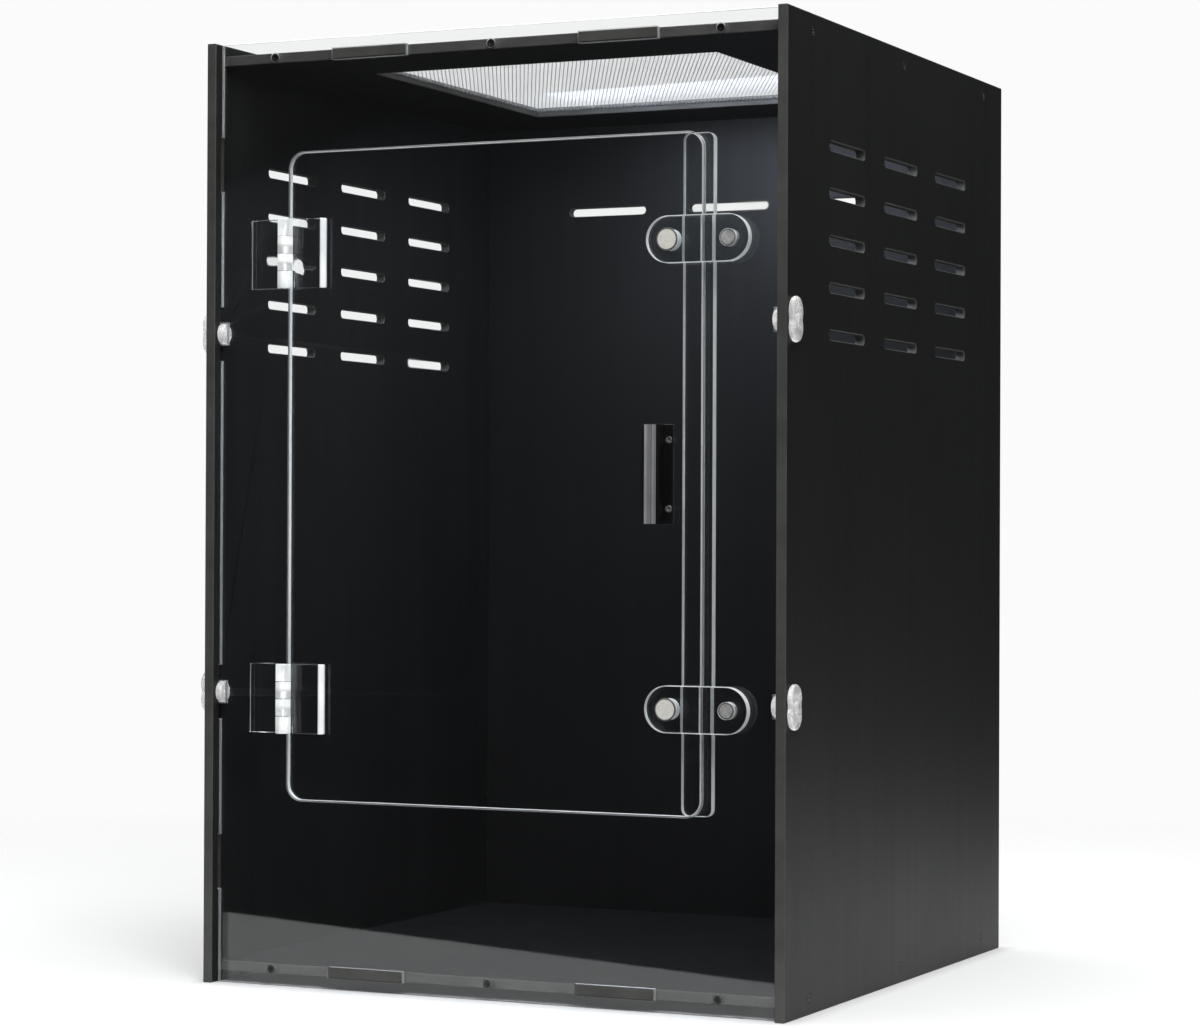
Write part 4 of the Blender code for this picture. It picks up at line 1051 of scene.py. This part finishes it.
def handle_outline(edge_x, back_y, proud, width):
    """The pull's section in plan: a screwed flange, an upright wall and a fluted, hooked crown."""
    points = [(0, 0), (0, HANDLE_WALL), (HANDLE_FLANGE, HANDLE_WALL),
              (HANDLE_FLANGE, proud - HANDLE_SHOULDER), (HANDLE_FLANGE + HANDLE_SHOULDER, proud)]
    for centre, half_width in FLUTES:
        t = np.linspace(-1, 1, FLUTE_STEPS)
        points += list(zip(centre + t * half_width, proud - FLUTE_DEPTH * (1 - t * t)))
    angle = math.pi / 2 - np.linspace(0, math.pi, CROWN_STEPS)
    radius = HANDLE_CROWN / 2
    points += list(zip(width - radius + radius * np.cos(angle), proud - radius + radius * np.sin(angle)))
    riser = HANDLE_FLANGE + HANDLE_WALL
    points += [(riser, proud - HANDLE_CROWN), (riser, 0)]
    along, off = np.array(points, float).T
    return np.column_stack([edge_x - along, back_y - off])[::-1]


def make_pull():
    """The black extruded pull on the door, whose flutes carry a painted sheen between its end chamfers."""
    low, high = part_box("door_handle")
    width, proud, length = high - low
    outline = without_doubles(handle_outline(high.x, high.y, proud, width))
    points, faces, _ = laid(slab(outline, length, PULL_BREAK), "z", high.z, -1)
    along, off, up = face_middles(points, faces).T
    # The flutes' front faces over the middle half of the length take the painted sheen.
    fluted = [np.abs(high.x - along - centre) < half_width for centre, half_width in FLUTES]
    wear_and_sheen = np.any(fluted, axis=0) & (off < low.y + FLUTE_DEPTH)
    wear_and_sheen &= np.abs(up - (low.z + high.z) / 2) < length / 4
    surface = (points, faces, wear_and_sheen.astype(int))
    pull = add_piece("door_pull", "door_handle", surface, (ANODISED, ANODISED_PAINTED_SHEEN))
    holes = []
    for level in LEVELS:
        screw = "handle_screw_" + level
        low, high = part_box(screw)
        head, bore = (high.x - low.x) / 2 + FIT, SCREW_RADIUS + FIT
        profile = [(-HANDLE_WALL, head), (BOARD_BREAK, head), (SCREW_HEAD_HEIGHT + FIT, bore),
                   (high.y - low.y, bore)]
        middle = middle_of(screw)
        holes.append(turned(profile, (middle.x, low.y, middle.z), (0, 1, 0), WIDE_HOLE_SIDES))
    cut_away(pull, holes)


# Thumbscrews


def lobed_outline(centre):
    """Two overlapping circles seen along the screw: the farther of the two edges at each angle, then
    a running average round the outline, so that the lobes flow into each other at the waist."""
    angle = 2 * math.pi * np.arange(LOBE_STEPS) / LOBE_STEPS
    up = np.abs(np.sin(angle)) * LOBE_SPREAD
    radius = up + np.sqrt(LOBE_RADIUS ** 2 - (np.cos(angle) * LOBE_SPREAD) ** 2)
    half = int(LOBE_STEPS * WAIST_BLEND / 2)
    window = np.hanning(half * 2 + 1)
    window /= window.sum()
    soft = np.convolve(np.concatenate([radius[-half:], radius, radius[:half]]), window, mode="valid")
    soft *= (LOBE_RADIUS + LOBE_SPREAD) / soft.max()
    return np.array(centre) + soft[:, None] * on_circle(angle)


def make_thumbscrew(side, level):
    """A clear two-lobed thumbscrew with its hub and shank, and its nut in the front sheet's notch."""
    sign = SIDES[side]
    place = side + "_" + level
    node, nut = "thumbscrew_" + place, "thumb_nut_" + place
    low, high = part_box(node)
    centre = middle_of(node).yz
    tip, reach = outer_end(node), high.x - low.x
    hub = tip - HALF_WIDTH - FIT - HEAD_THICKNESS
    head = carried(lobed_outline(centre), rounded_edge(HEAD_THICKNESS, HEAD_ROUND), -1)
    boss = carried(disc_outline(centre, HUB_RADIUS), [(0, 0), (0, FIT - hub), (-FIT, -hub)], 1)
    shank = carried(disc_outline(centre, SHANK_RADIUS),
                    [(0, HEAD_THICKNESS), (0, reach - hub - FIT), (-FIT, reach - hub)], 1)
    surface = laid(closed_head(head, boss, shank), "x", sign * (tip - hub), -sign)
    add_piece(place + "_thumbscrew", node, surface, (MOULDED,), KNOB_SOFT_ANGLE)

    bore = SHANK_RADIUS + FIT
    rim = [(NUT_HEIGHT - NUT_ROUND * (1 - math.sin(t)), NUT_RADIUS - NUT_ROUND * (1 - math.cos(t)))
           for t in quarter_turn(EDGE_STEPS + 1)]
    profile = [(0, bore), (0, NUT_RADIUS), *rim, (NUT_HEIGHT, bore)]
    surface = turned(profile, (sign * outer_end(nut), *centre), (-sign, 0, 0), NUT_SIDES, bored=True)
    add_piece(place + "_thumb_nut", nut, surface, (MOULDED,))


def closed_head(rings, boss, shank):
    """A rounded head with a boss on its front cap and a shank on its back cap, as one closed surface."""
    parts = (rings, boss, shank)
    starts = np.cumsum([0] + [part.shape[0] * part.shape[1] for part in parts])
    points = np.concatenate([part.reshape(-1, 3) for part in parts])
    walls = np.concatenate([grid_faces(*part.shape[:2], start) for part, start in zip(parts, starts)])

    def ring(part, start, row):
        """The point numbers of one row of a part."""
        return start + (row % part.shape[0]) * part.shape[1] + np.arange(part.shape[1])

    caps = [filled(points, [ring(rings, starts[0], 0), ring(boss, starts[1], 0)]),
            filled(points, [ring(rings, starts[0], -1), ring(shank, starts[2], 0)]),
            filled(points, [ring(boss, starts[1], -1)]),
            filled(points, [ring(shank, starts[2], -1)])]
    faces = walls.tolist() + np.concatenate(caps).tolist()
    return points, faces, np.zeros(len(faces), int)


# Screws


def cross_recess(x, y, radius):
    """Depth of a cross recess: full where either coordinate is small, fading to the arms' ends."""
    across = np.minimum(np.abs(x), np.abs(y)) / (CROSS_HALF_WIDTH * radius)
    along = np.maximum(np.abs(x), np.abs(y)) / (CROSS_REACH * radius)
    wall = np.clip((1 + CROSS_WALL / 2 - across) / CROSS_WALL, 0, 1)
    end = np.clip((1 - along) / CROSS_END, 0, 1)
    return CROSS_DEPTH * wall * end * (1 - CROSS_DISH * np.clip(along, 0, 1))


def screw_surface(length, radius):
    """A countersunk screw along +Z from its head: a recessed face, a cone, and a threaded shank.

    The face is a polar grid sunk by the recess, and the shank's radius rises and falls with the
    distance along it less the angle about it, which winds one ridge round it.
    """
    angle = even_angles(SCREW_SIDES)
    face = np.linspace(HEAD_EYE, 1 - HEAD_CHAMFER, FACE_ROWS)[:, None] * radius
    sunk = cross_recess(face * np.cos(angle), face * np.sin(angle), radius)
    cone = np.array([(radius, HEAD_CHAMFER * radius), (radius, HEAD_LIP), (SCREW_RADIUS, SCREW_HEAD_HEIGHT)])
    step = THREAD_PITCH / 3
    along = np.arange(SCREW_HEAD_HEIGHT + step, length - THREAD_PITCH, step)[:, None]
    turn = along / THREAD_PITCH - angle / (2 * math.pi)
    wound = SCREW_RADIUS - THREAD_DEPTH * 2 * np.abs(turn % 1 - 0.5)
    parts = [(face, sunk), (cone[:, :1], cone[:, 1:]), (wound, along), (TIP_SHARE * SCREW_RADIUS, length)]
    grid = np.concatenate([ring_points(angle, *part).reshape(-1, SCREW_SIDES, 3) for part in parts])
    faces = grid_faces(len(grid), SCREW_SIDES).tolist() + end_discs(len(grid), SCREW_SIDES)
    return grid.reshape(-1, 3), faces, np.zeros(len(faces), int)


def make_screws():
    """Every countersunk screw, each in its own place and turned by its own angle."""
    nodes = sorted(node for node in frame["nodes"] if "screw_" in node and "thumb" not in node)
    for index, node in enumerate(nodes):
        low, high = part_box(node)
        length = max(high - low)
        way = next(Vector(way) for kind, way in SCREW_WAYS.items() if node.startswith(kind))
        points, faces, finish = screw_surface(length, min(high - low) / 2)
        spin = np.array(Matrix.Rotation(index * SCREW_SPIN, 3, "Z"))
        turn = np.array(Vector((0, 0, 1)).rotation_difference(way).to_matrix())
        placed = points @ spin.T @ turn.T + np.array(middle_of(node) - way * length / 2)
        # The pull's screws take the lighter metal of their painted glint.
        steel = GLINT_SCREW if node.startswith("handle") else BLACKED
        add_piece("head_" + node, node, (placed, faces, finish), (steel,))


# Studio


def add_area(name, place, target, size, power, colour):
    """A soft box that faces a point."""
    light = bpy.data.lights.new(name, "AREA")
    light.shape = "RECTANGLE"
    light.size, light.size_y = size
    light.energy = power
    light.color = colour
    lamp = bpy.data.objects.new(name, light)
    bpy.context.scene.collection.objects.link(lamp)
    lamp.location = place
    lamp.rotation_euler = (Vector(target) - Vector(place)).to_track_quat("-Z", "Y").to_euler()
    lamp.visible_camera = False
    return lamp


def make_studio():
    """White surroundings to the camera, dimmer ones to everything else, and the soft boxes.

    One box lies just under the mesh. It isn't seen through a clear piece.
    """
    world = bpy.data.worlds.new("studio")
    bpy.context.scene.world = world
    world.use_nodes = True
    tree = world.node_tree
    tree.nodes.clear()
    rays = add_node(tree, "LightPath").outputs
    bounces = math_node(tree, "ADD", rays["Diffuse Depth"], rays["Glossy Depth"])
    direct = math_node(tree, "LESS_THAN", bounces, 0.5)
    through = math_node(tree, "MULTIPLY", rays["Is Transmission Ray"], direct)
    seen = math_node(tree, "MAXIMUM", rays["Is Camera Ray"], through)
    upward = add_node(tree, "SeparateXYZ", {0: add_node(tree, "TexCoord").outputs["Generated"]}).outputs["Z"]
    strength = remap(tree, upward, *SKY_HEIGHTS, *SKY_STRENGTHS)
    dim = add_node(tree, "Background", {"Color": (0.96, 0.98, 1.0, 1.0), "Strength": strength})
    white = add_node(tree, "Background", {"Color": (0.965, 0.965, 0.965, 1.0), "Strength": 1.0})
    mixed = add_node(tree, "MixShader", {0: seen, 1: dim.outputs[0], 2: white.outputs[0]})
    feed(tree, tree.nodes.new("ShaderNodeOutputWorld"), Surface=mixed.outputs[0])
    lamps = {name: add_area(name, *values) for name, values in SOFT_BOXES.items()}
    lamps["left_box"].visible_glossy = False
    lamps["inner_box"].visible_transmission = False


def make_floor():
    """A pale floor that fades into the white surroundings away from the case; it glows a little, less
    towards the case's foot, which gives a painted shade there.
    """
    mesh = bpy.data.meshes.new("floor")
    mesh.from_pydata([(x, y, 0) for x, y in FLOOR_CORNERS], [], [tuple(range(len(FLOOR_CORNERS)))])
    floor = bpy.data.objects.new("floor", mesh)
    bpy.context.scene.collection.objects.link(floor)
    material, tree, shader = new_material("floor_paper", Base_Color=(0.60, 0.60, 0.60, 1.0), Roughness=0.8,
                                          Specular_IOR_Level=0.1, Emission_Strength=0.29)
    place = own_place(tree)
    distance = add_node(tree, "VectorMath", {0: place}, operation="LENGTH").outputs["Value"]
    size = add_node(tree, "VectorMath", {0: place}, operation="ABSOLUTE").outputs["Vector"]
    across = add_node(tree, "SeparateXYZ", {0: size}).outputs
    square = math_node(tree, "MAXIMUM", across["X"], across["Y"])
    # A painted glow pales the floor's shadows; it is nil under the case and full two boards out, a painted
    # shade at the case's foot.
    painted_glow_share = remap(tree, square, HALF_WIDTH - BOARD, HALF_WIDTH + 2 * BOARD, 0.0, 1.0)
    feed(tree, shader, Emission_Color=blend(tree, painted_glow_share, BLACK, (1.0, 1.0, 0.995)))
    see_through(tree, shader, remap(tree, distance, *FLOOR_FADE, 0.0, 1.0))
    mesh.materials.append(material)


def make_camera():
    """The camera at the photograph's place, fitted to the case's corners in the photograph."""
    azimuth, elevation, roll = (math.radians(angle) for angle in CAMERA_TURN)
    back = Vector((math.sin(azimuth) * math.cos(elevation), -math.cos(azimuth) * math.cos(elevation),
                   math.sin(elevation)))
    right = Vector((0, 0, 1)).cross(back).normalized()
    up = back.cross(right)
    data = bpy.data.cameras.new("camera")
    data.sensor_width = CAMERA_WIDTH
    data.lens = CAMERA_LENS
    data.clip_start, data.clip_end = CAMERA_CLIP
    camera = bpy.data.objects.new("camera", data)
    bpy.context.scene.collection.objects.link(camera)
    matrix = np.eye(4)
    matrix[:3, 0] = math.cos(roll) * right + math.sin(roll) * up
    matrix[:3, 1] = -math.sin(roll) * right + math.cos(roll) * up
    matrix[:3, 2] = back
    matrix[:3, 3] = CAMERA_PLACE
    camera.matrix_world = Matrix(matrix.tolist())
    bpy.context.scene.camera = camera


def build():
    """Makes every piece, the studio and the camera."""
    for side in SIDES:
        make_side_board(side)
    make_decks()
    make_back_board()
    make_diamond_mesh()
    make_front_sheet()
    make_door_sheet()
    make_stop_strip()
    make_pull()
    make_screws()
    for level in LEVELS:
        make_hinge(level)
        make_latch(level)
        for side in SIDES:
            make_thumbscrew(side, level)
    make_floor()
    make_studio()
    make_camera()
    bpy.context.scene.view_settings.view_transform = "Standard"


build()
